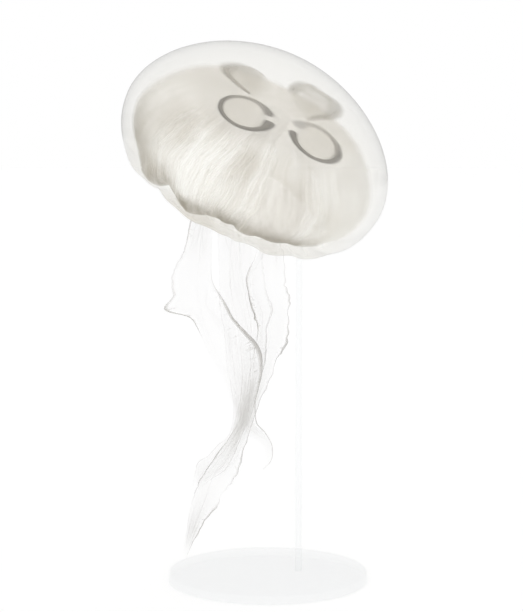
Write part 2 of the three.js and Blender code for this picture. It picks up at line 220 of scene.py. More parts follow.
def lay_grid(across: int, along: int, place: Callable[[float, float], Vector],
             marks: Mapping[str, Callable[[float, float], Row]] | None = None,
             joined: bool = True) -> bmesh.types.BMesh:
    """A grid laid on a surface.

    Args:
        across: faces in u.
        along: faces in v.
        place: gives the point for u and v, each from 0 to 1.
        marks: gives an attribute's three numbers for u and v, by the attribute's name.
        joined: whether edges that fall together are joined.

    Returns:
        The mesh, in the frame that place uses.
    """
    bm = bmesh.new()
    bmesh.ops.create_grid(bm, x_segments=across, y_segments=along, size=0.5)
    layers = [(bm.verts.layers.float_vector.new(name), mark) for name, mark in (marks or {}).items()]
    for vert in bm.verts:
        u, v = vert.co.x + 0.5, vert.co.y + 0.5
        for layer, mark in layers:
            vert[layer] = mark(u, v)
        vert.co = place(u, v)
    if joined:
        bmesh.ops.remove_doubles(bm, verts=bm.verts[:], dist=SEAM)
        bmesh.ops.dissolve_degenerate(bm, edges=bm.edges[:], dist=SEAM)
    return bm


def lay_ball(around: int, rings: int, place: Callable[[Vector], Vector],
             density: Callable[[Vector], float]) -> bmesh.types.BMesh:
    """A ball laid on a closed surface, with its density as the body attribute.

    Args:
        around: faces round it.
        rings: faces from pole to pole.
        place: gives the point for a point of the unit ball.
        density: gives the density for a point of the unit ball.

    Returns:
        The mesh, in the frame that place uses.
    """
    bm = bmesh.new()
    bmesh.ops.create_uvsphere(bm, u_segments=around, v_segments=rings, radius=1.0)
    body = bm.verts.layers.float_vector.new(BODY)
    for vert in bm.verts:
        vert[body] = (density(vert.co), 0.0, 0.0)
        vert.co = place(vert.co)
    return bm


def revolve(profile: Sequence[Pair], steps: int) -> bmesh.types.BMesh:
    """A profile turned about the z axis.

    Args:
        profile: (radius, height) points.
        steps: facets round the axis.

    Returns:
        The mesh, with its seam and its poles closed.
    """
    bm = bmesh.new()
    verts = [bm.verts.new((radius, 0.0, height)) for radius, height in profile]
    edges = [bm.edges.new(pair) for pair in zip(verts, verts[1:])]
    bmesh.ops.spin(bm, geom=verts + edges, cent=(0, 0, 0), axis=(0, 0, 1), dvec=(0, 0, 0),
                   angle=TURN, steps=steps, use_merge=True, use_normal_flip=False, use_duplicate=False)
    bmesh.ops.remove_doubles(bm, verts=bm.verts[:], dist=SEAM)
    return bm


def thicken(bm: bmesh.types.BMesh, thickness: float) -> None:
    """Gives an open sheet a thickness and a closed rim."""
    bmesh.ops.recalc_face_normals(bm, faces=bm.faces[:])
    bmesh.ops.solidify(bm, geom=bm.faces[:], thickness=thickness)


def join(target: bmesh.types.BMesh, part: bmesh.types.BMesh) -> None:
    """Adds one mesh to another.

    Args:
        target: the mesh that grows.
        part: the mesh that is added, which is freed.
    """
    mesh = bpy.data.meshes.new("part")
    part.to_mesh(mesh)
    part.free()
    target.from_mesh(mesh)
    bpy.data.meshes.remove(mesh)


def make_piece(name: str, bm: bmesh.types.BMesh, place: Matrix, material: bpy.types.Material,
               slot: Slot, replaces: Sequence[str] = ()) -> bpy.types.Object:
    """Turns a closed mesh into a finished piece of the model.

    Args:
        name: the piece's name.
        bm: its mesh, which is freed.
        place: from the mesh's frame to the row's frame.
        material: its finish.
        slot: the record's slot for that finish.
        replaces: the CAD nodes that it stands for.

    Returns:
        The object, at the origin.
    """
    bmesh.ops.recalc_face_normals(bm, faces=bm.faces[:])
    layer = bm.verts.layers.float_vector.new(LOCAL)
    for vert in bm.verts:
        vert[layer] = vert.co / BELL_RADIUS
    for face in bm.faces:
        face.smooth = True
    bm.transform(place)
    mesh = bpy.data.meshes.new(name)
    bm.to_mesh(mesh)
    bm.free()
    mesh.materials.append(material)
    piece = bpy.data.objects.new(name, mesh)
    bpy.context.scene.collection.objects.link(piece)
    piece.visible_shadow = slot is Slot.ACRYLIC  # clear tissue takes next to no light from what is behind it
    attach(piece, "root")
    if replaces:
        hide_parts(*replaces)
    log.info("%s: %d faces", name, len(mesh.polygons))
    return piece


# ---- Finishes ----


class Value:
    """A socket in a material that takes part in Python expressions."""

    def __init__(self, tree: bpy.types.NodeTree, socket: bpy.types.NodeSocket) -> None:
        """Wraps an output socket."""
        self.tree = tree
        self.socket = socket

    def math(self, operation: str, *others: "Value | float") -> "Value":
        """Adds a Math node.

        Args:
            operation: the node's operation.
            others: the values after this one.

        Returns:
            The node's result.
        """
        node = self.tree.nodes.new("ShaderNodeMath")
        node.operation = operation
        for socket, value in zip(node.inputs, (self, *others)):
            if isinstance(value, Value):
                self.tree.links.new(value.socket, socket)
            else:
                socket.default_value = value
        return Value(self.tree, node.outputs[0])

    def __add__(self, other: "Value | float") -> "Value":
        """Sum."""
        return self.math("ADD", other)

    __radd__ = __add__

    def __sub__(self, other: "Value | float") -> "Value":
        """Difference."""
        return self.math("SUBTRACT", other)

    def __rsub__(self, other: float) -> "Value":
        """Difference from a number."""
        return (self * -1) + other

    def __mul__(self, other: "Value | float") -> "Value":
        """Product."""
        return self.math("MULTIPLY", other)

    __rmul__ = __mul__

    def __truediv__(self, other: "Value | float") -> "Value":
        """Quotient."""
        return self.math("DIVIDE", other)

    def __pow__(self, power: float) -> "Value":
        """Power of a value that isn't negative."""
        return self.math("POWER", power)

    def clamp(self) -> "Value":
        """The value kept between 0 and 1."""
        return self.math("MAXIMUM", 0.0).math("MINIMUM", 1.0)

    def rise(self, low: float, high: float) -> "Value":
        """Adds an S-curve.

        Args:
            low: where it leaves 0.
            high: where it reaches 1.

        Returns:
            The node's result.
        """
        node = self.tree.nodes.new("ShaderNodeMapRange")
        node.interpolation_type = "SMOOTHSTEP"
        self.tree.links.new(self.socket, node.inputs["Value"])
        node.inputs["From Min"].default_value = low
        node.inputs["From Max"].default_value = high
        return Value(self.tree, node.outputs[0])


def strongest(masks: Iterable[Value]) -> Value:
    """The greatest of several masks, place by place."""
    return reduce(lambda first, second: first.math("MAXIMUM", second), masks)


def facing(direction: float, width: float, u: Value, v: Value) -> Value:
    """Mask of one direction round the bell, fading out on either side.

    Args:
        direction: its middle, in degrees.
        width: half its width, in degrees.
        u: cosine of the direction of a place.
        v: sine of the direction of a place.

    Returns:
        A mask from 0 to 1.
    """
    angle = math.radians(direction)
    gone, full = min(1.8 * width, 178.0), 0.3 * width
    near = u * math.cos(angle) + v * math.sin(angle)
    return near.rise(math.cos(math.radians(gone)), math.cos(math.radians(full)))


def patches(rows: Sequence[Row], u: Value, v: Value, out: Value) -> Value:
    """Mask of several soft patches on the bell.

    Args:
        rows: (direction in degrees, half width, radius, half depth, strength) of each patch.
        u: cosine of the direction of a place.
        v: sine of the direction of a place.
        out: its distance from the axis, in bell radii.

    Returns:
        A mask from 0 to 1.
    """
    return strongest(
        facing(direction, width, u, v)
        * (1 - ((out - radius) / depth).math("ABSOLUTE").rise(0.2, 1.5)) * strength
        for direction, width, radius, depth, strength in rows)

class Dresser:
    """Builds the nodes of one material."""

    def __init__(self, name: str) -> None:
        """Starts a material with a Principled shader.

        Args:
            name: the material's name.
        """
        self.material = bpy.data.materials.new(name)
        self.material.use_nodes = True
        self.material.surface_render_method = "BLENDED"
        self.tree = self.material.node_tree
        self.shader = self.tree.nodes["Principled BSDF"]

    def node(self, kind: str, settings: dict | None = None, inputs: dict | None = None,
             output: int | str = 0) -> Value:
        """Adds a node of any type.

        Args:
            kind: the node's type.
            settings: its own settings, set first.
            inputs: values or links of its sockets, by name or index.
            output: the output to return.

        Returns:
            That output.
        """
        node = self.tree.nodes.new(kind)
        for key, value in (settings or {}).items():
            setattr(node, key, value)
        for key, value in (inputs or {}).items():
            if isinstance(value, Value):
                self.tree.links.new(value.socket, node.inputs[key])
            else:
                node.inputs[key].default_value = value
        return Value(self.tree, node.outputs[output])

    def attribute(self, name: str) -> tuple[Value, Value, Value, Value]:
        """Reads a vector attribute.

        Args:
            name: the attribute's name.

        Returns:
            The vector, and its three numbers.
        """
        vector = self.node("ShaderNodeAttribute", {"attribute_name": name}, output="Vector")
        parts = [self.node("ShaderNodeSeparateXYZ", inputs={0: vector}, output=i) for i in range(3)]
        return (vector, *parts)

    def vector(self, x: "Value | float", y: "Value | float", z: "Value | float") -> Value:
        """A vector of three numbers."""
        return self.node("ShaderNodeCombineXYZ", inputs={0: x, 1: y, 2: z})

    def noise(self, vector: Value, scale: float, detail: float = 2.0, roughness: float = 0.5) -> Value:
        """Noise from 0 to 1."""
        return self.node("ShaderNodeTexNoise", inputs={
            "Vector": vector, "Scale": scale, "Detail": detail, "Roughness": roughness})

    def mix(self, share: "Value | float", a: "Value | Colour", b: "Value | Colour") -> Value:
        """A colour between a and b."""
        ends = {6: a if isinstance(a, Value) else (*a, 1.0), 7: b if isinstance(b, Value) else (*b, 1.0)}
        return self.node("ShaderNodeMix", {"data_type": "RGBA"}, {0: share, **ends}, output=2)

    def bump(self, height: Value, strength: float, distance: float) -> Value:
        """A normal bent by a height."""
        return self.node("ShaderNodeBump", inputs={
            "Strength": strength, "Distance": distance, "Height": height})

    def wet(self, roughness: float, share: Value) -> None:
        """Lays a wet gloss over the shader, which is strong only at a glancing angle.

        Args:
            roughness: how blurred the gloss is.
            share: its strength at the most glancing angle.
        """
        glance = self.node("ShaderNodeLayerWeight", inputs={"Blend": 0.5}, output="Facing") ** 5.0 * share
        gloss = self.node("ShaderNodeBsdfGlossy", inputs={"Roughness": roughness})
        mixed = self.node("ShaderNodeMixShader", inputs={
            0: glance, 1: Value(self.tree, self.shader.outputs[0]), 2: gloss})
        self.tree.links.new(mixed.socket, self.tree.nodes["Material Output"].inputs["Surface"])

    def dress(self, **sockets: "Value | float | Colour") -> bpy.types.Material:
        """Sets the shader's sockets.

        Args:
            sockets: values or links, by the socket's name in lower case with underscores.

        Returns:
            The material.
        """
        names = {socket.name.lower().replace(" ", "_"): socket for socket in self.shader.inputs}
        for key, value in sockets.items():
            if isinstance(value, Value):
                self.tree.links.new(value.socket, names[key])
            elif isinstance(value, tuple):
                names[key].default_value = (*value, 1.0)
            else:
                names[key].default_value = value
        return self.material

    def tissue(self, colour: Value, alpha: Value, roughness: float, painted_glow: float,
               normal: Value, ior: float = JELLY_IOR) -> bpy.types.Material:
        """Dresses see-through tissue with a painted glow: an emission in its own colour stands in for light
        scattered through it.

        Args:
            colour: its colour.
            alpha: how much it covers.
            roughness: how blurred its gloss is.
            painted_glow: strength of the painted glow, an emission in its own colour.
            normal: its surface.
            ior: its index of refraction.

        Returns:
            The material.
        """
        # painted glow: the emission makes the tissue glow in its own colour, though it is no lamp
        return self.dress(base_color=colour, alpha=alpha.clamp(), roughness=roughness, ior=ior,
                          emission_color=colour, emission_strength=painted_glow, normal=normal)


@dataclass(frozen=True)
class ClearJelly:
    """The clear jelly of the bell: wet outside, faint inside and a little milky at the margin."""

    colour: Colour = (0.56, 0.55, 0.508)
    # painted shade: the darker brown tint laid on the lower margin
    painted_shade_colour: Colour = (0.40, 0.37, 0.30)
    cover: float = 0.22
    inner_cover: float = 0.03
    mottling: float = 0.05
    margin_milk: float = 0.18
    margin_height: float = 0.14
    # Where a painted shade darkens the lower margin towards brown, on the side toward the viewer: (direction,
    # half width, strength).
    painted_shade_patches: tuple[Row, ...] = ((257, 17, 1.0), (214, 9, 0.35), (304, 24, 0.4))
    painted_shade_cover: float = 0.12
    painted_shade_heights: Pair = (0.03, 0.16)  # between these heights the painted shade fades out
    # painted glow: emission in the jelly's own colour
    painted_glow: float = 0.55
    gloss: float = 0.55
    roughness: float = 0.16

    def make(self) -> bpy.types.Material:
        """Builds the finish.

        Returns:
            The material.
        """
        d = Dresser("clear_jelly")
        place, x, y, z = d.attribute(LOCAL)
        _, outside, _, _ = d.attribute(BODY)
        out = (x * x + y * y).math("SQRT") + OFF_AXIS
        mottle = d.noise(place, 9.0, 3.0)
        margin = 1 - z.rise(0.0, self.margin_height)
        # Painted shade: the lower margin is darkened towards brown, spreading out from the brown rim on the
        # side toward the viewer.
        painted_shade = strongest(facing(direction, width, x / out, y / out) * strength
                          for direction, width, strength in self.painted_shade_patches)
        painted_shade = painted_shade * (1 - z.rise(*self.painted_shade_heights)) * (mottle + 0.5).clamp()
        colour = d.mix(painted_shade, self.colour, self.painted_shade_colour)
        alpha = (mottle - 0.5) * self.mottling + margin * self.margin_milk
        alpha = (alpha + painted_shade * self.painted_shade_cover + self.cover) * outside
        alpha = alpha + (1 - outside) * self.inner_cover
        d.wet(self.roughness, outside * self.gloss)
        return d.tissue(colour, alpha, self.roughness, self.painted_glow, d.bump(mottle, 0.2, 0.0012))


@dataclass(frozen=True)
class CanalWeb:
    """A film under the jelly, milky beige, drawn out in fine canals from the centre to the margin."""

    name: str = "canal_web"
    beige: Colour = (0.74, 0.70, 0.63)
    milk: Colour = (0.96, 0.955, 0.92)
    dusk: Colour = (0.57, 0.525, 0.45)
    brown: Colour = (0.195, 0.155, 0.085)
    cover: float = 0.13
    lines: float = 0.0  # how strongly the fine canals show
    # painted glow: emission in the film's own colour
    painted_glow: float = 0.16
    roughness: float = 0.42
    # How fine the folds are that run out from the centre.
    canals: float = 58.0
    branches: float = 16.0
    broad_folds: float = 7.0
    wander: float = 0.16  # how far they stray sideways
    vein_width: float = 0.03
    flank: Pair = (0.46, 0.74)  # between these radii the canals come in
    # Milky and dusky patches: (direction in degrees, half width, radius, half depth, strength).
    milky: tuple[Row, ...] = (
        (238, 20, 0.88, 0.18, 1.0), (258, 14, 0.86, 0.16, 0.9), (277, 5, 0.77, 0.20, 1.0),
        (312, 7, 0.82, 0.12, 0.9), (203, 17, 0.78, 0.18, 0.5), (345, 17, 0.76, 0.20, 1.0))
    dusky: tuple[Row, ...] = (
        (269, 6, 0.80, 0.10, 1.0), (283, 2.5, 0.82, 0.16, 0.8), (296, 6, 0.86, 0.11, 0.9),
        (224, 12, 0.80, 0.10, 1.0), (240, 12, 0.68, 0.09, 0.8), (314, 5, 0.90, 0.06, 0.6),
        (334, 9, 0.73, 0.10, 0.4), (250, 30, 0.56, 0.10, 0.5), (290, 24, 0.84, 0.26, 0.35),
        (250, 70, 0.40, 0.25, 0.35))
    # Where the film is thinner, in the same way, with the share of the film that is gone.
    sheer: tuple[Row, ...] = ((338, 20, 0.74, 0.24, 0.5), (207, 10, 0.80, 0.10, 0.25))
    # Where the brown rim shows: (direction, half width, strength, height where it has faded).
    rims: tuple[Row, ...] = (
        (298, 26, 1.0, 0.27), (276, 12, 1.0, 0.28), (258, 12, 1.0, 0.21), (240, 12, 0.7, 0.19),
        (224, 14, 0.55, 0.34), (196, 22, 0.8, 0.60), (350, 24, 0.25, 0.42), (150, 30, 0.2, 0.4))
    rim_height: float = 0.10  # below it the rim is full
    # The side away from the viewer, where the film thins out towards the margin: (direction, half width).
    back: Pair = (95, 62)
    back_heights: Pair = (0.10, 0.55)
    back_thinning: float = 0.95
    # What each adds to the cover.
    milky_cover: float = 0.08
    dusky_cover: float = 0.05
    line_cover: float = 0.08
    vein_cover: float = 0.05
    rim_cover: float = 0.15

    def make(self) -> bpy.types.Material:
        """Builds the finish.

        Returns:
            The material.
        """
        d = Dresser(self.name)
        place, x, y, z = d.attribute(LOCAL)
        out = (x * x + y * y).math("SQRT")
        off = out + OFF_AXIS
        wander = (d.noise(place, 3.5, 2.0) - 0.5) * self.wander
        u = x / off - wander * (y / off)
        v = y / off + wander * (x / off)
        drop = z * 0.9
        fine, broad, branch = (
            d.noise(d.vector(u * count, v * count, fall), 1.0, detail)
            for count, fall, detail in ((self.canals, drop, 1.0), (self.broad_folds, drop, 2.0),
                                        (self.branches, drop * 3, 3.0)))
        cloud = d.noise(place, 5.0, 3.0)
        milky = (patches(self.milky, u, v, out) * (broad * 0.6 + 0.75)).clamp()
        dusky = (patches(self.dusky, u, v, out) * (branch * 0.8 + 0.6)).clamp()
        flank = out.rise(*self.flank)
        light = fine.rise(0.50, 0.66) * flank * self.lines
        dark = (1 - fine.rise(0.36, 0.50)) * flank * self.lines
        vein = (1 - ((branch - 0.5) / self.vein_width).math("ABSOLUTE")).clamp()
        vein = vein * out.rise(0.3, 0.5) * self.lines
        ragged = z + (branch - 0.5) * 0.16
        rim = strongest(
            facing(direction, width, u, v) * strength * (1 - ragged.rise(self.rim_height, top))
            for direction, width, strength, top in self.rims)
        rim = (rim * (branch.rise(0.35, 0.6) * 0.6 + 0.55)).clamp()
        colour = d.mix(((broad - 0.35) * 0.8).clamp(), self.beige, self.milk)
        for share, tone in ((((cloud - 0.45) * 0.9).clamp(), self.dusk), (milky * 0.9, self.milk),
                            (dusky * 0.8, self.dusk), (dark * 0.5, self.dusk), (vein * 0.5, self.brown),
                            (light * 0.45, self.milk), (rim, self.brown)):
            colour = d.mix(share, colour, tone)
        alpha = (flank * 0.22 + 0.78) * self.cover + milky * self.milky_cover + dusky * self.dusky_cover
        alpha = alpha + (light + dark) * self.line_cover + vein * self.vein_cover + rim * self.rim_cover
        thin = facing(*self.back, u, v) * (1 - z.rise(*self.back_heights))
        alpha = alpha * (1 - thin * self.back_thinning) * (1 - patches(self.sheer, u, v, out))
        relief = d.bump(fine * flank + branch * 0.6, 0.4, 0.0008)
        return d.tissue(colour, alpha, self.roughness, self.painted_glow, relief)


@dataclass(frozen=True)
class GastricFilm:
    """Milky film of the stomach and its pouches."""

    name: str
    colour: Colour
    cover: float
    cloud: float = 22.0
    cloud_shade: float = 0.9
    # painted glow: emission in the film's own colour
    painted_glow: float = 0.22
    roughness: float = 0.45

    def make(self) -> bpy.types.Material:
        """Builds the finish.

        Returns:
            The material.
        """
        d = Dresser(self.name)
        place, *_ = d.attribute(LOCAL)
        cloud = d.noise(place, self.cloud, 3.0)
        _, body, _, _ = d.attribute(BODY)
        alpha = ((cloud - 0.5) * 0.4 + 1) * body * self.cover
        colour = d.mix(cloud, tuple(self.cloud_shade * part for part in self.colour), self.colour)
        return d.tissue(colour, alpha, self.roughness, self.painted_glow, d.bump(cloud, 0.4, 0.0008))


@dataclass(frozen=True)
class GonadTissue:
    """Taupe tissue of the gonads, in fine folds, thinning out towards the edges of the band."""

    name: str
    dark: Colour
    pale: Colour
    cover: float
    # painted glow: emission in the band's own colour
    painted_glow: float
    folds: float = 60.0
    roughness: float = 0.5
    ior: float = 1.4

    def make(self) -> bpy.types.Material:
        """Builds the finish.

        Returns:
            The material.
        """
        d = Dresser(self.name)
        place, *_ = d.attribute(LOCAL)
        _, body, _, _ = d.attribute(BODY)
        fold = d.noise(place, self.folds, 3.0, 0.6)
        colour = d.mix(fold.rise(0.3, 0.7), self.dark, self.pale)
        alpha = (fold * 0.3 + 0.85) * body * self.cover
        return d.tissue(colour, alpha, self.roughness, self.painted_glow, d.bump(fold, 0.6, 0.0008), self.ior)


@dataclass(frozen=True)
class ArmFilm:
    """Thin film of the mouth and the oral arms: clear, with faint streaks and a denser hem."""

    name: str = "arm_film"
    colour: Colour = (0.60, 0.585, 0.56)
    roughness: float = 0.35
    streak: float = 0.22
    tag: float = 0.3  # strength of the short strokes that run in from the hem
    tags: float = 110.0  # how close they stand
    rib: float = 0.05  # strength of the line along the middle
    rib_width: float = 0.035
    wander: float = 1.2  # how far the streaks stray sideways
    edge_fade: float = 0.75
    tip: float = 0.93  # from here on the film fades out
    hem: Pair = (0.86, 0.98)  # between these shares of the width the hem comes in

    def make(self) -> bpy.types.Material:
        """Builds the finish.

        Returns:
            The material.
        """
        d = Dresser(self.name)
        _, across, along, arm = d.attribute(RIBBON)
        _, cover, hem, _ = d.attribute(WEIGHT)
        edge = across.math("ABSOLUTE")
        wander = (d.noise(d.vector(across, along * 6.0, arm * 5.0), 1.0, 2.0) - 0.5) * self.wander
        lines = d.noise(d.vector((across + wander) * 5.0, along * 3.0, arm * 9.0), 1.0, 3.0, 0.55)
        cloud = d.noise(d.vector(across * 1.2, along * 9.0, arm * 5.0), 1.0, 2.0) * 1.2 + 0.4
        streak = lines.rise(0.50, 0.80) * self.streak
        tag = d.noise(d.vector(across * 3.0, along * self.tags, arm * 3.0), 1.0, 1.0).rise(0.55, 0.75)
        tag = tag * edge.rise(0.45, 0.95) * hem * self.tag
        rib = (1 - (across / self.rib_width).math("ABSOLUTE")).clamp() * along.rise(0.1, 0.2) * self.rib
        fade = (1 - edge.rise(0.45, 1.0) * self.edge_fade) * (1 - along.rise(self.tip, 1.0))
        alpha = (cover * cloud + streak * (cover * 4.0 + 0.25)) * fade
        alpha = alpha + edge.rise(*self.hem) * hem * cloud + tag + rib
        return d.dress(base_color=self.colour, alpha=alpha.clamp(), roughness=self.roughness,
                       ior=JELLY_IOR, normal=d.bump(lines, 0.3, 0.0006))


@dataclass(frozen=True)
class SoftTissue:
    """Small solid pieces: sense organs and the fringe of tentacles."""

    name: str
    colour: Colour
    cover: float
    speckle: float = 120.0
    speckle_shade: float = 0.75
    roughness: float = 0.4
    ior: float = 1.37

    def make(self) -> bpy.types.Material:
        """Builds the finish.

        Returns:
            The material.
        """
        d = Dresser(self.name)
        place, *_ = d.attribute(LOCAL)
        speckle = d.noise(place, self.speckle, 2.0)
        colour = d.mix(speckle, tuple(self.speckle_shade * part for part in self.colour), self.colour)
        return d.dress(base_color=colour, alpha=self.cover, roughness=self.roughness, ior=self.ior,
                       normal=d.bump(speckle, 0.4, 0.0003))


@dataclass(frozen=True)
class ClearAcrylic:
    """Polished clear acrylic of the stand."""

    colour: Colour = (0.86, 0.90, 0.91)
    cover: float = 0.10
    roughness: float = 0.05
    polish: float = 0.03  # how much the roughness varies
    ior: float = 1.49

    def make(self) -> bpy.types.Material:
        """Builds the finish.

        Returns:
            The material.
        """
        d = Dresser("clear_acrylic")
        polish = d.noise(d.node("ShaderNodeTexCoord", output="Object"), 60.0, 2.0)
        return d.dress(base_color=self.colour, alpha=self.cover, ior=self.ior,
                       roughness=polish * self.polish + self.roughness)


# ---- The bell ----


@dataclass(frozen=True)
class Dome:
    """A surface of revolution: a superellipse above its widest ring, and a lip that curls in below."""

    radius: float
    widest: float
    apex: float
    fullness: float
    lip_radius: float
    lip_height: float

    def wall(self, angle: float) -> Pair:
        """Point of the wall.

        Args:
            angle: 0 at the apex and a quarter turn at the widest ring.

        Returns:
            Radius and height.
        """
        power = 2 / self.fullness
        out = max(math.sin(angle), 0.0) ** power
        up = max(math.cos(angle), 0.0) ** power
        return self.radius * out, self.widest + (self.apex - self.widest) * up

    def lip(self, share: float) -> Pair:
        """Point of the lip.

        Args:
            share: 0 at the widest ring and 1 at the edge of the lip.

        Returns:
            Radius and height.
        """
        out = math.sqrt(max(1 - share * share, 0.0))
        radius = self.lip_radius + (self.radius - self.lip_radius) * out
        return radius, lerp(self.widest, self.lip_height, share)

    def radius_at(self, height: float) -> float:
        """Distance of the surface from the axis.

        Args:
            height: where it is asked for.

        Returns:
            The radius at this height.
        """
        if height < self.widest:
            return self.lip(min((self.widest - height) / (self.widest - self.lip_height), 1.0))[0]
        up = min((height - self.widest) / (self.apex - self.widest), 1.0)
        return self.wall(math.acos(up ** (self.fullness / 2)))[0]

    def height_over(self, radius: float) -> float:
        """Height of the wall at this distance from the axis."""
        share = min(radius / self.radius, 1.0) ** (self.fullness / 2)
        return self.wall(math.asin(share))[1]

    def profile(self, wall_steps: int, lip_steps: int, lip_end: float = 1.0) -> list[Pair]:
        """Points from the apex to the lip.

        Args:
            wall_steps: steps above the widest ring.
            lip_steps: steps below it.
            lip_end: share of the lip where the profile ends.

        Returns:
            (radius, height) points.
        """
        wall = [self.wall(QUARTER * i / wall_steps) for i in range(wall_steps)]
        lip = [self.lip(lip_end * math.sin(QUARTER * i / lip_steps)) for i in range(lip_steps + 1)]
        return wall + lip


OUTSIDE = Dome(100 * MM, 40 * MM, 110 * MM, 1.83, 71 * MM, 0.0)
INSIDE = Dome(92.6 * MM, 36 * MM, 101 * MM, 2.1, 64.5 * MM, 9 * MM)
CANALS = Dome(92 * MM, 36 * MM, 97 * MM, 1.66, 65.2 * MM, 7.5 * MM)

BELL_PLACE = (
    Matrix.Translation(Vector((-24.8, 18.0, 277.3)) * MM)
    @ Matrix.Rotation(math.radians(26.5), 4, "Y")
    @ Matrix.Rotation(math.radians(20.5), 4, "X")
)


@dataclass
class Bell:
    """The bell: clear skin, the web of canals under it, sense organs and the fringe of tentacles."""

    lobes: int = 8
    first_notch: float = math.radians(14)
    notch_depth: float = 0.035
    notch_sharpness: float = 6
    # Deeper folds of the margin: (direction in degrees, half width in degrees, depth).
    folds: tuple[Row, ...] = (
        (234, 4.5, 5.0 * MM), (277, 3.5, 2.5 * MM), (12, 4.0, 3.0 * MM), (103, 5.0, 4.0 * MM),
        (151, 4.0, 3.0 * MM))
    # Where the web of canals hangs lower: (direction in degrees, half width in degrees, drop).
    hem_drops: tuple[Row, ...] = (
        (223, 10, 9.0 * MM), (251, 8, 7.0 * MM), (285, 5, 3.0 * MM), (318, 12, 1.5 * MM), (5, 12, 4.0 * MM),
        (50, 11, 6.0 * MM), (95, 12, 5.0 * MM), (140, 11, 7.0 * MM), (180, 9, 5.0 * MM))
    ripple: float = 1.2 * MM
    ripples_per_lobe: int = 2
    crumple: Pair = (5, 1.4)  # how close the margin's crumples are, and how many mm high
    plateau: float = 71.5 * MM
    plateau_fall: float = 0.6 * MM  # how much lower the plateau is out at the bell's radius
    plateau_blend: float = 1.6 * MM
    web_layers: tuple[tuple[str, float], ...] = (
        ("web_veil", 0.0), ("canal_web", 1.8 * MM), ("muscle_sheet", 3.6 * MM))
    web_thickness: float = 1.2 * MM
    web_steps: int = 256
    web_pleats: tuple[Row, ...] = ((11, 0.7), (24, 0.35))  # (how close, how many mm deep)
    pleat_radii: Pair = (50 * MM, 80 * MM)  # between these the pleats come in
    pleat_height: float = 30 * MM  # below this they are full
    hem_heights: Pair = (8 * MM, 22 * MM)  # between these the web's hanging fades out
    hem_slant: float = 0.62
    skin_steps: int = 192
    # Profiles: (steps of the wall, steps of the lip, share of the lip where the profile ends).
    outer_rows: Row = (44, 18, 0.985)
    inner_rows: Row = (36, 14, 0.97)
    web_rows: Row = (40, 16, 0.98)
    lip_edge: tuple[Row, ...] = (
        (69.2 * MM, 0.2 * MM), (66.4 * MM, 1.9 * MM), (64.8 * MM, 4.6 * MM), (64.4 * MM, 7.4 * MM))
    inner_slack: float = 1.5 * MM
    inner_from: float = 6 * MM  # below this all of the skin counts as its outside
    # A sense organ, in millimetres: where it starts, how long it is, how far it drops and how thick it is.
    club_root: Pair = (66.0, 1.2)
    club_length: float = 4.2
    club_drop: float = 1.6
    club_thickness: Pair = (0.55, 0.5)
    # The tentacles, in millimetres: how many, where they start, how long and how thick they are.
    tentacles: int = 320
    tentacle_root: Pair = (65.2, 8.0)
    tentacle_length: Pair = (5.2, 2.2)
    tentacle_thickness: float = 0.28
    tentacle_taper: float = 0.75
    # How much a tentacle curls, and how far it then reaches in and hangs down, as shares of its length.
    tentacle_curl: float = 1.25
    tentacle_reach: float = 0.55
    tentacle_droop: float = 0.75
    tentacle_sway: float = 0.35
    tentacle_depth: float = 0.9  # how far down the lip they stand

    def lobe_share(self, angle: float) -> float:
        """Place within a lobe, from 0 at one notch to 1 at the next."""
        return ((angle - self.first_notch) / (TURN / self.lobes)) % 1.0

    def margin_rise(self, angle: float, depth: float) -> float:
        """How far the margin is lifted.

        Args:
            angle: direction round the bell.
            depth: 0 at the widest ring and 1 at the edge of the lip.

        Returns:
            The lift, in metres.
        """
        share = self.lobe_share(angle)
        notch = self.notch_depth * OUTSIDE.widest * abs(2 * share - 1) ** self.notch_sharpness
        notch += self.around(angle, self.folds)
        wave = self.ripple * math.sin(TURN * self.ripples_per_lobe * share)
        closeness, height = self.crumple
        crumple = noise.noise(Vector((math.cos(angle), math.sin(angle), 0.3)) * closeness) * height * MM
        return notch * depth + (wave + crumple) * depth * depth

    @staticmethod
    def around(angle: float, rows: Sequence[Row]) -> float:
        """Sum of humps round the bell.

        Args:
            angle: direction, in radians.
            rows: (direction, half width, height) of each hump, with its angles in degrees.

        Returns:
            The height here.
        """
        total = 0.0
        for direction, width, height in rows:
            apart = (math.degrees(angle) - direction + 180) % 360 - 180
            total += height * hill(apart, 0.0, width)
        return total

    def shape_margin(self, bm: bmesh.types.BMesh) -> None:
        """Lifts the vertices below the widest ring into lobes, notches and ripples.

        Args:
            bm: the mesh, in the bell's frame.
        """
        for vert in bm.verts:
            if vert.co.z < OUTSIDE.widest:
                depth = min((OUTSIDE.widest - vert.co.z) / OUTSIDE.widest, 1.0)
                vert.co.z += self.margin_rise(math.atan2(vert.co.y, vert.co.x), depth)

    def skin(self) -> None:
        """The closed clear skin: outside, edge of the lip and inside."""
        outside = OUTSIDE.profile(*self.outer_rows)
        inside = INSIDE.profile(*self.inner_rows)
        bm = revolve([*outside, *self.lip_edge, *inside[::-1]], self.skin_steps)
        body = bm.verts.layers.float_vector.new(BODY)
        for vert in bm.verts:
            inner = vert.co.xy.length < INSIDE.radius_at(vert.co.z) + self.inner_slack
            inner = inner and self.inner_from < vert.co.z < INSIDE.apex + self.inner_slack
            vert[body] = (0.0 if inner else 1.0, 0.0, 0.0)
        self.shape_margin(bm)
        nodes = ["bell_crown"]
        nodes += [f"{kind}_{i + 1}" for kind in ("bell_octant", "margin_lobe") for i in range(self.lobes)]
        make_piece("bell_skin", bm, BELL_PLACE, ClearJelly().make(), Slot.JELLY, nodes)

    def web_height(self, radius: float, height: float) -> float:
        """Height of the web of canals: the wall's, but flat under the gonads."""
        plateau = self.plateau - self.plateau_fall * (radius / OUTSIDE.radius) ** 2
        return soft_least(height, plateau, self.plateau_blend)

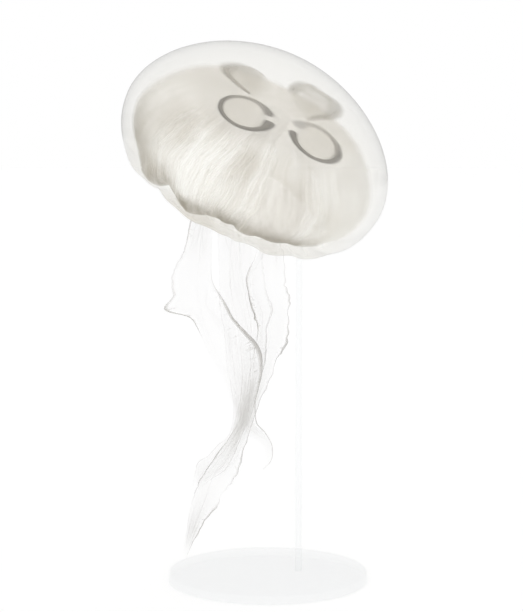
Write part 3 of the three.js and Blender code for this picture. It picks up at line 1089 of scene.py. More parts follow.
    def web(self, name: str, inset: float, material: bpy.types.Material) -> None:
        """A film under the jelly: flat under the gonads, then down the inside of the wall to the margin.

        Args:
            name: the piece's name.
            inset: how far it lies inside the outermost film.
            material: its finish.
        """
        film = replace(CANALS, radius=CANALS.radius - inset, apex=CANALS.apex - inset,
                       lip_radius=CANALS.lip_radius - inset / 3)
        rows = film.profile(*self.web_rows)
        bm = revolve([(r, self.web_height(r, z) - inset / 3) for r, z in rows], self.web_steps)
        self.shape_margin(bm)
        for vert in bm.verts:
            out = math.hypot(vert.co.x, vert.co.y)
            angle = math.atan2(vert.co.y, vert.co.x)
            around = Vector((math.cos(angle), math.sin(angle), 0.0))
            pleat = sum(noise.noise(around * closeness) * deep * MM for closeness, deep in self.web_pleats)
            flank = smooth_step(*self.pleat_radii, out) if vert.co.z > self.pleat_height else 1.0
            vert.co.z += pleat * flank
            vert.co -= around * max(pleat, 0.0) * flank
            hang = self.around(angle, self.hem_drops) * (1 - smooth_step(*self.hem_heights, vert.co.z))
            vert.co += (around * self.hem_slant - Vector((0.0, 0.0, self.hem_slant))) * hang
        thicken(bm, self.web_thickness)
        make_piece(name, bm, BELL_PLACE, material, Slot.JELLY)

    def rhopalia(self) -> None:
        """Eight small clubs in the notches."""
        material = SoftTissue("rhopalia", (0.55, 0.50, 0.43), 0.20).make()
        thin, swell = self.club_thickness
        whole = bmesh.new()
        for i in range(self.lobes):
            club = bmesh.new()
            bmesh.ops.create_uvsphere(club, u_segments=16, v_segments=12, radius=1.0)
            for vert in club.verts:
                share = (vert.co.z + 1) / 2
                thick = (thin + swell * math.sin(math.pi * share)) * MM
                vert.co = Vector((
                    (self.club_root[0] - self.club_length * share) * MM, vert.co.x * thick,
                    (self.club_root[1] - self.club_drop * share) * MM + vert.co.y * thick))
            club.transform(Matrix.Rotation(self.first_notch + TURN * i / self.lobes, 4, "Z"))
            join(whole, club)
        nodes = [f"rhopalium_{i + 1}" for i in range(self.lobes)]
        make_piece("rhopalia", whole, BELL_PLACE, material, Slot.SENSE_ORGAN, nodes)

    def tentacle(self, length: float, sway: float, lift: float) -> bmesh.types.BMesh:
        """One contracted tentacle, tapered and curled in.

        Args:
            length: its length.
            sway: how far it leans sideways, as a share of its length.
            lift: how far the margin is lifted here.

        Returns:
            The mesh, in the bell's frame, at direction 0.
        """
        root, height = self.tentacle_root

        def place(u: float, v: float) -> Vector:
            """Point on the tentacle.

            Args:
                u: round it.
                v: along it.

            Returns:
                The point, in the bell's frame.
            """
            thick = self.tentacle_thickness * MM * (1 - self.tentacle_taper * v)
            thick = thick * math.sin(math.pi * min(max(v, 0.0), 1.0) * 0.98 + 0.03) if 0 < v < 1 else 0.0
            out = root * MM - length * math.sin(v * self.tentacle_curl) * self.tentacle_reach
            up = height * MM - length * v * self.tentacle_droop + lift
            ring = Vector((math.cos(TURN * u), math.sin(TURN * u), 0.0)) * thick
            return Vector((out + ring.x, sway * length * v + ring.y, up))

        return lay_grid(5, 5, place)

    def fringe(self) -> None:
        """Short contracted tentacles in a ring inside the margin."""
        material = SoftTissue("tentacles", (0.52, 0.46, 0.38), 0.42).make()
        usual, spread = self.tentacle_length
        whole = bmesh.new()
        for i in range(self.tentacles):
            angle = TURN * (i + 0.5) / self.tentacles
            length = (usual + spread * noise.noise(Vector((i * 0.37, 2.0, 0.0)))) * MM
            sway = self.tentacle_sway * noise.noise(Vector((i * 0.21, 7.0, 1.0)))
            tentacle = self.tentacle(length, sway, self.margin_rise(angle, self.tentacle_depth))
            tentacle.transform(Matrix.Rotation(angle, 4, "Z"))
            join(whole, tentacle)
        make_piece("tentacle_fringe", whole, BELL_PLACE, material, Slot.JELLY)

    def build(self) -> None:
        """Makes the bell's pieces."""
        self.skin()
        films = (CanalWeb("web_veil", cover=0.06), CanalWeb("canal_web", cover=0.17, lines=1.0),
                 CanalWeb("muscle_sheet", cover=0.19))
        for (name, inset), film in zip(self.web_layers, films):
            self.web(name, inset, film.make())
        self.rhopalia()
        self.fringe()


# ---- Under the crown ----


@dataclass(frozen=True)
class Sector:
    """A gastric pouch and its gonad. Millimetres and degrees.

    The gonad lies on a plane with this height at the centre and this slope away from the bell's axis. It
    is a ring with a gap, whose half width (band) and density (tone) are given at equal steps from one side
    of the gap to the other.
    """

    x: float
    y: float
    turn: float
    reach: float
    width: float
    height: float
    slope: float
    mouth: float
    gap: float
    band: Row
    tone: Row = (1.0, 1.0)
    far: bool = False
    tip: float = 0.0
    tip_at: float = 0.0

    def point(self, share: float, angle: float, inset: float) -> Vector:
        """Point of the pouch, level with the bell's margin.

        Args:
            share: 0 at the middle and 1 at the outline, which has its tip drawn out.
            angle: direction from the middle.
            inset: how far the outline is drawn in.

        Returns:
            The point, in the bell's frame.
        """
        share *= 1 + self.tip * max(math.cos(angle - math.radians(self.tip_at)), 0.0) ** 7
        along = (self.reach * MM - inset) * share * math.cos(angle)
        across = (self.width * MM - inset) * share * math.sin(angle)
        turn = math.radians(self.turn)
        return Vector((self.x * MM + along * math.cos(turn) - across * math.sin(turn),
                       self.y * MM + along * math.sin(turn) + across * math.cos(turn), 0.0))

    def level(self, point: Vector) -> float:
        """Height of the gonad's plane.

        Args:
            point: where it is asked for.

        Returns:
            The height there, in metres.
        """
        centre = Vector((self.x, self.y)) * MM
        outward = (point.xy - centre).dot(centre.normalized())
        return self.height * MM + self.slope * outward


@dataclass
class GastricSystem:
    """Stomach, pouches and gonads."""

    sectors: tuple[Sector, ...] = (
        Sector(-17.5, -41.6, 176, 17.6, 24.4, 75.3, -0.09, 201, 9,
               band=(2.6, 2.0, 1.2, 1.1, 1.2, 1.4, 1.5, 1.6, 2.7),
               tone=(0.8, 0.75, 0.7, 0.9, 1.0, 1.0, 1.0, 1.0, 1.0)),
        Sector(34.5, -34.3, -87, 25.9, 17.5, 76.3, -0.08, 262, 10,
               band=(2.0, 1.5, 1.4, 1.6, 1.8, 1.6, 1.5, 2.0, 3.2),
               tone=(1.0, 1.0, 0.95, 0.85, 0.75, 0.65, 0.5, 0.4, 0.3)),
        Sector(16.2, 17.2, 97.5, 25.8, 12.1, 82, 0.2, 133, 51,
               band=(1.3, 1.4, 1.5, 1.8, 3.0, 4.0, 3.6, 2.4, 1.6),
               tone=(0.7, 0.85, 0.95, 0.8, 0.6, 0.5, 0.6, 0.9, 1.0), far=True, tip=0.82, tip_at=272.6),
        Sector(-23.3, 8.9, 75, 18.9, 15.3, 79.7, 0.2, 284, 66,
               band=(2.4, 3.4, 3.8, 3.4, 2.6, 1.7, 1.4, 1.2, 1.1),
               tone=(0.3, 0.5, 0.7, 0.85, 1.0, 1.15, 1.3, 1.4, 1.5), far=True, tip=0.36, tip_at=129),
    )
    centre: Pair = (3 * MM, -2 * MM)
    corners: Row = (0, 104, 220, 280)
    roof_gap: float = 0.8 * MM  # how far everything stays below the inside of the jelly
    # A gonad's edges: (how much wider it is with them, how soft they are, share of it where its ends fade).
    near_edges: Row = (1.85, 1.1, 0.015)
    far_edges: Row = (2.5, 2.4, 0.10)
    # Half its thickness, in millimetres: (least, growth with its width, most) of a near one.
    near_depth: Row = (0.3, 0.15, 1.0)
    far_depth: float = 0.4
    gonad_pleats: int = 64
    pleat_depth: float = 0.22
    fold: float = 0.35
    pouch_inset: float = 0.6 * MM
    pouch_crown: float = 7 * MM
    pouch_belly: float = 2.2 * MM
    pouch_clearance: float = 3 * MM
    # Where a pouch's film fades: towards its outline, and (from, to, share lost) towards the stomach.
    far_outline: Pair = (0.8, 1.0)
    far_inward: Row = (0.1, 0.8, 0.85)
    near_inward: Row = (0.4, 0.95, 0.9)
    # The stomach, in millimetres: its height in the bell, and how far it stands up and down from there.
    stomach_height: float = 76
    stomach_crown: float = 7
    stomach_belly: float = 3
    stomach_reach: Pair = (8.5, 9)  # of its middle, and of its arms beyond that
    corner_sharpness: int = 20
    stomach_fade: Pair = (0.6, 1.0)
    near_gonad: GonadTissue = GonadTissue("gonad_near", (0.06, 0.045, 0.03), (0.12, 0.10, 0.075), 0.94, 0.04)
    far_gonad: GonadTissue = GonadTissue("gonad_far", (0.28, 0.25, 0.195), (0.35, 0.32, 0.26), 0.55, 0.1)
    near_film: GastricFilm = GastricFilm("pouch_near", (0.50, 0.46, 0.38), 0.19)
    far_film: GastricFilm = GastricFilm("pouch_far", (0.46, 0.42, 0.35), 0.37)
    stomach_film: GastricFilm = GastricFilm("stomach_film", (0.78, 0.755, 0.71), 0.18)

    def gonad(self, index: int, sector: Sector) -> None:
        """A folded band round a pouch. A far one, seen through more jelly, has a wider soft edge.

        Args:
            index: number of the CAD node.
            sector: the pouch.
        """
        start = math.radians(sector.mouth + sector.gap)
        sweep = math.radians(360 - 2 * sector.gap)
        spread, softness, fade = self.far_edges if sector.far else self.near_edges
        least, growth, most = self.near_depth

        def place(u: float, v: float) -> Vector:
            """Point on the band.

            Args:
                u: round its section.
                v: along it.

            Returns:
                The point, in the bell's frame.
            """
            angle = start + sweep * v
            end = min(v, 1 - v)
            taper = math.sqrt(smooth_step(0.0, 0.02, end))
            pleat = 1 + self.pleat_depth * math.sin(TURN * self.gonad_pleats * v) * math.cos(TURN * u) ** 2
            fold = self.fold * noise.noise(Vector((v * 22, index, 0))) * MM * smooth_step(0.0, 0.1, end)
            half = value_along(sector.band, v) * spread
            depth = (self.far_depth if sector.far else min(least + growth * half, most)) * taper * MM
            point = sector.point(1, angle, fold - half * taper * pleat * math.cos(TURN * u) * MM)
            centre = sector.point(1, angle, fold)
            roof = INSIDE.height_over(point.xy.length) - depth - self.roof_gap
            point.z = min(sector.level(centre), roof) + depth * math.sin(TURN * u)
            return point

        def density(u: float, v: float) -> Row:
            """The body attribute, which fades out at the band's edges and ends."""
            dense = value_along(sector.tone, v) * smooth_step(0.0, fade, min(v, 1 - v))
            return dense * abs(math.sin(TURN * u)) ** softness, 0.0, 0.0

        bm = lay_grid(16, 420, place, {BODY: density})
        tissue = self.far_gonad if sector.far else self.near_gonad
        make_piece(f"gonad_{index}_folds", bm, BELL_PLACE, tissue.make(), Slot.GONAD, [f"gonad_{index}"])

    def pouch(self, index: int, sector: Sector, material: bpy.types.Material) -> None:
        """The film that roofs a pouch.

        Args:
            index: number of the CAD node.
            sector: the pouch.
            material: its finish.
        """
        def place(ball: Vector) -> Vector:
            """Point on the pouch.

            Args:
                ball: a point of the unit ball.

            Returns:
                The point, in the bell's frame.
            """
            point = sector.point(math.hypot(ball.x, ball.y), math.atan2(ball.y, ball.x), self.pouch_inset)
            middle = min(sector.level(point), INSIDE.height_over(point.length) - self.pouch_clearance)
            roof = min(INSIDE.height_over(point.length) - self.roof_gap, middle + self.pouch_crown)
            point.z = lerp(middle, roof, ball.z) if ball.z > 0 else middle + self.pouch_belly * ball.z
            return point

        def density(ball: Vector) -> float:
            """Density of the film, which is thinner towards the stomach.

            Args:
                ball: a point of the unit ball.

            Returns:
                The density, from 0 to 1.
            """
            share = math.hypot(ball.x, ball.y)
            angle = math.atan2(ball.y, ball.x)
            inward = max(share * math.cos(angle - math.radians(sector.mouth)), 0.0)
            start, end, lost = self.far_inward if sector.far else self.near_inward
            dense = 1 - lost * smooth_step(start, end, inward)
            return dense * (1 - smooth_step(*self.far_outline, share)) if sector.far else dense

        bm = lay_ball(64, 32, place, density)
        make_piece(f"pouch_{index}", bm, BELL_PLACE, material, Slot.GASTRIC, [f"gastric_pouch_{index}"])

    def stomach(self) -> None:
        """The whitish cross in the middle, whose four arms run between the gonads."""
        middle, beyond = self.stomach_reach

        def place(ball: Vector) -> Vector:
            """Point on the stomach.

            Args:
                ball: a point of the unit ball.

            Returns:
                The point, in the bell's frame.
            """
            angle = math.atan2(ball.y, ball.x)
            share = math.hypot(ball.x, ball.y)
            toward = max(math.cos(angle - math.radians(corner)) for corner in self.corners)
            reach = (middle + beyond * max(toward, 0.0) ** self.corner_sharpness) * MM * share
            thick = self.stomach_crown if ball.z > 0 else self.stomach_belly
            return Vector((self.centre[0] + reach * math.cos(angle), self.centre[1] + reach * math.sin(angle),
                           (self.stomach_height + thick * ball.z) * MM))

        def density(ball: Vector) -> float:
            """Density of the film, which fades towards its outline."""
            return 1 - smooth_step(*self.stomach_fade, math.hypot(ball.x, ball.y))

        bm = lay_ball(96, 32, place, density)
        make_piece("stomach_cross", bm, BELL_PLACE, self.stomach_film.make(), Slot.GASTRIC, ["stomach"])

    def build(self) -> None:
        """Makes the stomach, the pouches and the gonads."""
        near_film, far_film = self.near_film.make(), self.far_film.make()
        for index, sector in enumerate(self.sectors, 1):
            self.gonad(index, sector)
            self.pouch(index, sector, far_film if sector.far else near_film)
        self.stomach()


# ---- Mouth and oral arms ----


@dataclass(frozen=True)
class Flare:
    """A corner that stands out of one flap: which side, where, how far and over what length."""

    side: int
    at: float
    reach: float
    span: float


@dataclass(frozen=True)
class OralArm:
    """One oral arm: a keel with a ruffled flap on either side. Millimetres and degrees."""

    name: str
    corner: float
    path: tuple[Row, ...]
    left: Row
    right: Row
    turn: Row
    cup: Row
    hems: tuple[Row, Row]
    frill: Pair
    flare: Flare
    phase: float
    film: Row = (1.0, 1.0)


ARMS = (
    OralArm(
        name="oral_arm_left", corner=180,
        path=((-33, 11, 289), (-42, 12, 270), (-47, 10.5, 254), (-49.5, 9, 231), (-51, 8, 210),
              (-47, 8, 188), (-38, 7.5, 166), (-26, 7, 141), (-18, 5.5, 122), (-12.5, 4.5, 110),
              (-5, 4, 104), (0.5, 4, 96), (0.5, 4, 87), (-4.5, 4, 81)),
        left=(4, 6, 8, 10.5, 17.5, 7.5, 5, 4.5, 5, 4, 1.5),
        right=(4, 5, 7, 9, 14, 22, 29, 27, 10, 4, 1.5),
        turn=(60, 30, -5, -14, -18, -18, -14, -8, 5, 0, 0),
        cup=(0.5, 0.4, 0.3, 0.3, 0.3, 0.15, 0.05, 0, 0, 0.1, 0),
        hems=((0.1, 0.2, 0.25, 0.3, 0.25, 0.3, 0.25, 0.15, 0.12, 0.3, 0.95, 0.2, 0.06, 0.04, 0.03, 0.03,
               0.03, 0.03, 0.03, 0.03, 0.02),
              (0.03, 0.03, 0.05, 0.06, 0.15, 0.6, 0.85, 0.75, 0.4, 1.2, 1.3)),
        frill=(0.45, 0.12), flare=Flare(-1, 0.47, 14, 0.022), phase=0.4,
        film=(1.0, 1.1, 1.3, 1.3, 1.2, 1.0, 1.0, 1.2, 0.9, 0.4, 0.2)),
    OralArm(
        name="oral_arm_right", corner=0,
        path=((-4, 10.5, 289), (-4.5, 14.5, 276), (-2, 19.5, 256), (1, 23, 234), (-1, 25, 210),
              (3, 25, 184), (-3, 23, 155), (-13.5, 17.5, 122), (-18, 14.5, 108), (-29, 12, 89),
              (-41, 11, 71), (-50, 10, 49), (-58, 9, 24), (-61, 9, 13)),
        left=(4, 6, 8, 18, 12, 9, 5, 6.5, 11, 7, 1.2),
        right=(4, 6, 9, 15, 12, 9, 5, 8, 15, 6, 1.2),
        turn=(-60, -30, -16, -18, -18, -6, 4, 10, 22, 26, 10),
        cup=(0.4, 0.3, 0.1, -0.25, -0.3, -0.1, 0.1, 0.2, 0.35, 0.3, 0),
        hems=((0.05, 0.05, 0.05, 0.05, 0.05, 0.12, 0.5, 0.8, 0.6, 0.2, 0.1, 0.1, 0.15, 0.2, 0.35, 0.6,
               0.5, 0.12, 0.08, 0.05, 0.05),
              (0.05, 0.05, 0.05, 0.1, 0.12, 0.15, 0.2, 0.3, 0.3, 0.65, 0.25, 0.3, 0.3, 0.4, 0.4, 0.3,
               0.12, 0.15, 0.85, 0.8, 0.3)),
        frill=(0.5, 1.5), flare=Flare(1, 0.36, 2.5, 0.03), phase=2.1),
    OralArm(
        name="oral_arm_front", corner=270,
        path=((-17.5, -2, 291), (-22, -3, 278), (-25, -6, 256), (-27, -9, 230), (-26, -10.5, 204),
              (-23, -10.5, 178), (-20, -8, 150), (-19.5, -5, 126), (-23, -3, 107), (-34, -2.5, 90),
              (-46, -4, 76), (-54, -6, 66)),
        left=(4, 7, 10, 12, 12, 11, 9, 6, 4.5, 9, 3),
        right=(4, 7, 10, 13, 12, 10, 8, 6, 4.5, 8, 2),
        turn=(0, 0, 12, 20, 24, 18, 8, 0, 0, 14, 20),
        cup=(0.5, 0.5, 0.6, 0.7, 0.7, 0.7, 0.5, 0.3, 0.1, 0.2, 0),
        hems=((0.03, 0.04, 0.06, 0.07, 0.07, 0.06, 0.05, 0.06, 0.12, 0.14, 0.1),
              (0.02, 0.02, 0.02, 0.02, 0.03, 0.04, 0.12, 0.2, 0.25, 0.15, 0.05)),
        frill=(0.5, 0.5), flare=Flare(-1, 0.93, 5, 0.03), phase=4.4,
        film=(1.0, 1.0, 1.0, 1.0, 0.8, 0.6, 0.7, 0.9, 0.9, 0.7, 0.5)),
    OralArm(
        name="oral_arm_back", corner=90,
        path=((-13.5, 22, 299), (-18, 27, 286), (-21, 35, 262), (-21, 40, 236), (-18, 41, 210),
              (-13, 39, 184), (-10.5, 35, 160), (-13, 29, 136), (-18, 24.5, 116), (-23, 21.5, 102),
              (-26, 20.5, 92)),
        left=(4, 7, 11, 14, 15, 13, 11, 9, 6, 5, 1.5),
        right=(4, 7, 11, 14, 15, 12, 11, 9, 6, 5, 1.5),
        turn=(0, 0, -10, -20, -24, -18, -6, 6, 8, 0, 0),
        cup=(-0.5, -0.5, -0.6, -0.7, -0.7, -0.7, -0.5, -0.4, -0.3, -0.2, 0),
        hems=((0.03, 0.03, 0.04, 0.05, 0.06, 0.05, 0.05, 0.06, 0.15, 0.1, 0.05),
              (0.02, 0.02, 0.03, 0.04, 0.05, 0.08, 0.2, 0.35, 0.3, 0.15, 0.0)),
        frill=(0.5, 0.6), flare=Flare(1, 0.55, 5, 0.04), phase=5.6),
)


@dataclass
class Mouth:
    """The mouth tube and the four oral arms."""

    top: float = 71.2 * MM
    bottom: float = 35 * MM
    top_radius: float = 10.5 * MM
    neck_radius: float = 8.2 * MM
    mouth_radius: float = 12 * MM
    shift: float = 2 * MM
    film: float = 0.3 * MM
    tube_wall: float = 0.6 * MM
    neck_share: float = 0.77  # share of the tube, from the mouth up, where it is narrower
    lip_corner: float = 3.4 * MM
    lip_frill: float = 0.5 * MM
    lip_frills: int = 28
    lips: int = 4
    tube_lines: float = 0.6  # share of an arm's width over which the tube's streaks are spread
    tube_stretch: float = 8  # how many times longer than the tube they are drawn
    tube_cover: float = 0.10
    knot_width: float = 15.0  # width of an arm, in millimetres, where the film has this cover
    cover: float = 0.10
    most_cover: float = 0.18
    gathering: float = 1.8  # how much denser the film is where an arm is narrower
    waves: float = 5
    ruffle: float = 0.2
    right_phase: float = 2.2
    scallop: float = 0.16
    frills: float = 20

    def manubrium(self, material: bpy.types.Material) -> None:
        """The tube from the stomach down to the mouth, with a lip at each of its four corners.

        Args:
            material: its finish.
        """
        def place(u: float, v: float) -> Vector:
            """Point on the tube.

            Args:
                u: round it.
                v: 0 at the mouth and 1 at the stomach.

            Returns:
                The point, in the bell's frame.
            """
            angle = TURN * u
            neck = math.sin(math.pi * min(1.0, v / self.neck_share))
            radius = lerp(lerp(self.mouth_radius, self.top_radius, v), self.neck_radius, neck)
            lips = self.lip_corner * (1 - v) ** 2 * math.cos(self.lips * angle)
            size = radius + lips + self.lip_frill * (1 - v) ** 3 * math.sin(self.lip_frills * angle)
            return Vector((size * math.cos(angle) + self.shift * v, size * math.sin(angle),
                           lerp(self.bottom, self.top, v)))

        bm = lay_grid(192, 40, place)
        thicken(bm, self.tube_wall)
        ribbon = bm.verts.layers.float_vector.new(RIBBON)
        weight = bm.verts.layers.float_vector.new(WEIGHT)
        for vert in bm.verts:
            angle = math.atan2(vert.co.y, vert.co.x)
            down = (self.top - vert.co.z) / (self.tube_stretch * self.top)
            vert[ribbon] = (self.tube_lines * math.cos(self.lips * angle), down, len(ARMS))
            vert[weight] = (self.tube_cover, 0.0, 0.0)
        make_piece("mouth_tube", bm, BELL_PLACE, material, Slot.ARM_FILM, ["manubrium"])

    def keel(self, arm: OralArm) -> Keel:
        """The middle line of an arm.

        Args:
            arm: the arm.

        Returns:
            The line from the arm's corner of the mouth to its tip, in the row's frame.
        """
        corner = math.radians(arm.corner)
        starts = [BELL_PLACE @ Vector((self.mouth_radius * math.cos(corner),
                                       self.mouth_radius * math.sin(corner), self.bottom - depth))
                  for depth in (0.6 * MM, 6 * MM)]
        return Keel([*starts, *(Vector(place) * MM for place in arm.path)])

    def arm(self, index: int, arm: OralArm, material: bpy.types.Material) -> None:
        """A ruffled ribbon along its keel.

        Args:
            index: the arm's number, which seeds its folds.
            arm: its sizes.
            material: its finish.
        """
        keel = self.keel(arm)

        def place(u: float, v: float) -> Vector:
            """Point on the ribbon.

            Args:
                u: across it.
                v: along it.

            Returns:
                The point, in the row's frame.
            """
            # Scallops, ruffles and frills all grow from the keel to the edge.
            out = 2 * u - 1
            left = out < 0
            edge = abs(out)
            tangent = keel.tangent(v)
            turn = math.radians(value_along(arm.turn, v))
            level = Vector((math.cos(turn), math.sin(turn), 0.0))
            side = (level - tangent * level.dot(tangent)).normalized()
            depth = tangent.cross(side)
            width = value_along(arm.left if left else arm.right, v)
            if math.copysign(1, out) == arm.flare.side:
                width += arm.flare.reach * hill(v, arm.flare.at, arm.flare.span)
            seed = index * 7.3 + (0 if left else 3.1)
            lively = arm.frill[0 if left else 1]
            scallop = noise.noise(Vector((v * 22, seed, 0.0)))
            scallop += 0.6 * noise.noise(Vector((v * 60, seed, 4.0)))
            width *= 1 + self.scallop * lively * scallop * edge ** 3
            wave = math.sin(TURN * self.waves * v + arm.phase + (0 if left else self.right_phase))
            rise = width * out * out * (value_along(arm.cup, v) + self.ruffle * wave)
            pace = self.frills * v + 2.5 * noise.noise(Vector((v * 7, seed, 8.0)))
            swing = max(0.25 + 1.3 * noise.noise(Vector((v * 11, seed, 12.0))), 0.0) * lively
            frill = math.sin(TURN * pace) * swing * edge ** 5 * min(2.4, 0.2 * width + 0.2)
            curl = math.cos(TURN * pace) * swing * edge ** 5 * min(1.2, 0.1 * width)
            return (keel.point(v) + (side * (width * out) + depth * (rise + frill) + tangent * curl) * MM)

        def weight(u: float, v: float) -> Row:
            """The weight attribute.

            Args:
                u: across the ribbon.
                v: along it.

            Returns:
                Cover of the film, strength of its hem, and 0.
            """
            width = value_along(arm.left, v) + value_along(arm.right, v)
            cover = min(self.cover * (self.knot_width / width) ** self.gathering, self.most_cover)
            hem = value_along(arm.hems[0] if u < 0.5 else arm.hems[1], v)
            return cover * value_along(arm.film, v), hem, 0.0

        marks = {RIBBON: lambda u, v: (2 * u - 1, v, float(index)), WEIGHT: weight}
        bm = lay_grid(44, 520, place, marks, joined=False)
        thicken(bm, self.film)
        nodes = [f"{arm.name}_{part}" for part in ("upper", "middle", "lower")]
        make_piece(arm.name, bm, Matrix.Identity(4), material, Slot.ARM_FILM, nodes)

    def build(self) -> None:
        """Makes the mouth and the arms."""
        material = ArmFilm().make()
        self.manubrium(material)
        for index, arm in enumerate(ARMS):
            self.arm(index, arm, material)


# ---- Display stand ----


@dataclass
class Stand:
    """A clear disc, one rod and a small pad under the stomach."""

    edge: float = 1.2 * MM
    disc_steps: int = 128
    rod_steps: int = 48
    pad_steps: int = 64
    pad_radius: float = 5 * MM
    pad_depth: float = 2.4 * MM
    pad_edge: float = 0.5 * MM
    sharp: float = math.radians(40)

    @staticmethod
    def cylinder(radius: float, depth: float, steps: int) -> bmesh.types.BMesh:
        """An upright cylinder about the origin.

        Args:
            radius: its radius.
            depth: its height.
            steps: its facets.

        Returns:
            The mesh.
        """
        bm = bmesh.new()
        bmesh.ops.create_cone(bm, cap_ends=True, cap_tris=False, segments=steps, radius1=radius,
                              radius2=radius, depth=depth)
        return bm

    def base(self, material: bpy.types.Material) -> None:
        """The disc, with a rounded upper edge.

        Args:
            material: its finish.
        """
        low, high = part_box("stand_base")
        bm = self.cylinder((high.x - low.x) / 2, high.z - low.z, self.disc_steps)
        top = [edge for edge in bm.edges if all(vert.co.z > 0 for vert in edge.verts)]
        bmesh.ops.bevel(bm, geom=top, offset=self.edge, affect="EDGES", segments=4, profile=0.5, material=-1)
        place = Matrix.Translation(Vector((0, 0, (high.z + low.z) / 2)))
        self.finish("stand_disc", bm, place, material, "stand_base")

    def rod(self, material: bpy.types.Material) -> None:
        """The rod, with its top cut to the slant of the pad.

        Args:
            material: its finish.
        """
        low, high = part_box("stand_rod")
        radius = (high.x - low.x) / 2
        bm = self.cylinder(radius, high.z - low.z, self.rod_steps)
        axis = (BELL_PLACE.to_3x3() @ Vector((0, 0, 1))).normalized()
        slope = Vector((-axis.x / axis.z, -axis.y / axis.z))
        drop = radius * slope.length
        for vert in bm.verts:
            if vert.co.z > 0:
                vert.co.z += slope.dot(vert.co.xy) - drop
        self.finish("stand_column", bm, Matrix.Translation((low + high) / 2), material, "stand_rod")

    def pad(self, material: bpy.types.Material) -> None:
        """The small pad, square to the bell.

        Args:
            material: its finish.
        """
        low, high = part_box("stand_pad")
        bm = self.cylinder(self.pad_radius, self.pad_depth, self.pad_steps)
        rims = [edge for edge in bm.edges if edge.calc_face_angle(0) > 1]
        bmesh.ops.bevel(bm, geom=rims, offset=self.pad_edge, affect="EDGES", segments=3, profile=0.5,
                        material=-1)
        place = Matrix.Translation((low + high) / 2) @ BELL_PLACE.to_3x3().to_4x4()
        self.finish("stand_cushion", bm, place, material, "stand_pad")

    def finish(self, name: str, bm: bmesh.types.BMesh, place: Matrix, material: bpy.types.Material,
               node: str) -> None:
        """Makes the piece, flat on its flat faces.

        Args:
            name: the piece's name.
            bm: its mesh.
            place: its place.
            material: its finish.
            node: the CAD node that it stands for.
        """
        piece = make_piece(name, bm, place, material, Slot.ACRYLIC, [node])
        piece.data.set_sharp_from_angle(angle=self.sharp)

    def build(self) -> None:
        """Makes the stand."""
        material = ClearAcrylic().make()
        for part in (self.base, self.rod, self.pad):
            part(material)


# ---- Studio ----


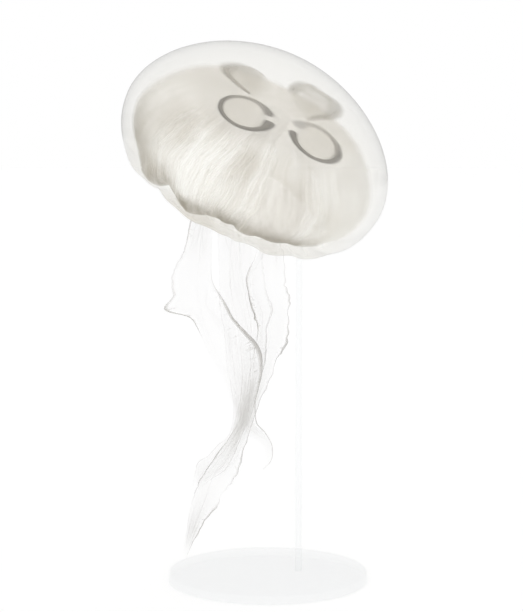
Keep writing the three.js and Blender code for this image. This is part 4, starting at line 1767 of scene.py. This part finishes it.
@dataclass
class Studio:
    """Pale floor, white surround, soft lights and the camera."""

    target: tuple[float, float, float] = (-4.7 * MM, 0.0, 199 * MM)
    distance: float = 1.2
    tilt: float = math.radians(5)
    lens: float = 98.6
    sensor: float = 36.0
    floor_radius: float = 60.0
    floor_colour: Colour = (0.93, 0.93, 0.93)
    floor_glow: float = 0.285
    white: Colour = (1.0, 1.0, 1.0)
    # The lamps: (name, direction that it comes from, width as an angle in degrees, strength).
    lamps: tuple = (("key", (-0.25, -1.0, 0.5), 50, 1.1), ("top", (0.2, 0.4, 1.0), 50, 0.5))

    def floor(self) -> None:
        """A wide white floor."""
        bm = bmesh.new()
        bmesh.ops.create_circle(bm, cap_ends=True, segments=96, radius=self.floor_radius)
        mesh = bpy.data.meshes.new("floor")
        bm.to_mesh(mesh)
        bm.free()
        d = Dresser("floor_white")
        grain = d.noise(d.node("ShaderNodeTexCoord", output="Object"), 40.0, 2.0)
        mesh.materials.append(d.dress(base_color=self.floor_colour, roughness=grain * 0.1 + 0.8,
                                      emission_color=self.white, emission_strength=self.floor_glow))
        floor = bpy.data.objects.new("floor", mesh)
        bpy.context.scene.collection.objects.link(floor)

    def surround(self, seen: float = 1.0, light: float = 0.50) -> None:
        """White all round: full white where the camera looks at it, softer as a light.

        Args:
            seen: strength that the camera sees.
            light: strength that the model sees.
        """
        world = bpy.data.worlds.new("surround")
        bpy.context.scene.world = world
        world.use_nodes = True
        tree = world.node_tree
        tree.nodes.clear()
        shades = []
        for strength in (light, seen):
            shade = tree.nodes.new("ShaderNodeBackground")
            shade.inputs["Color"].default_value = (*self.white, 1.0)
            shade.inputs["Strength"].default_value = strength
            shades.append(shade)
        path = tree.nodes.new("ShaderNodeLightPath")
        mix = tree.nodes.new("ShaderNodeMixShader")
        output = tree.nodes.new("ShaderNodeOutputWorld")
        tree.links.new(path.outputs["Is Camera Ray"], mix.inputs[0])
        tree.links.new(shades[0].outputs[0], mix.inputs[1])
        tree.links.new(shades[1].outputs[0], mix.inputs[2])
        tree.links.new(mix.outputs[0], output.inputs["Surface"])

    def lamp(self, name: str, source: tuple[float, float, float], spread: float, power: float) -> None:
        """A broad soft light from far away, even over the floor and the model.

        Args:
            name: its name.
            source: the direction that it comes from.
            spread: its width as an angle, in degrees.
            power: its strength, in watts per square metre.
        """
        light = bpy.data.lights.new(name, "SUN")
        light.angle = math.radians(spread)
        light.energy = power
        lamp = bpy.data.objects.new(name, light)
        lamp.rotation_euler = (-Vector(source)).to_track_quat("-Z", "Y").to_euler()
        lamp.visible_glossy = False
        bpy.context.scene.collection.objects.link(lamp)

    def camera(self) -> None:
        """The camera, level with the arms and looking a little down."""
        data = bpy.data.cameras.new("camera")
        data.lens = self.lens
        data.sensor_width = self.sensor
        data.clip_start = 0.05
        camera = bpy.data.objects.new("camera", data)
        back = Vector((0, -math.cos(self.tilt), math.sin(self.tilt)))
        camera.location = Vector(self.target) + back * self.distance
        camera.rotation_euler = (math.pi / 2 - self.tilt, 0, 0)
        bpy.context.scene.collection.objects.link(camera)
        bpy.context.scene.camera = camera

    def build(self) -> None:
        """Makes the studio."""
        self.camera()
        self.floor()
        self.surround()
        for row in self.lamps:
            self.lamp(*row)
        scene = bpy.context.scene
        scene.view_settings.view_transform = "Standard"
        scene.cycles.transparent_max_bounces = 96
        scene.cycles.diffuse_bounces = 1
        scene.cycles.glossy_bounces = 1


def main() -> None:
    """Builds the studio and the jellyfish, one sub-assembly after another."""
    logging.basicConfig(level=logging.INFO, format="%(name)s: %(message)s")
    for part in (Studio(), Bell(), GastricSystem(), Mouth(), Stand()):
        log.info("building %s", type(part).__name__)
        part.build()


if __name__ == "__main__":
    main()
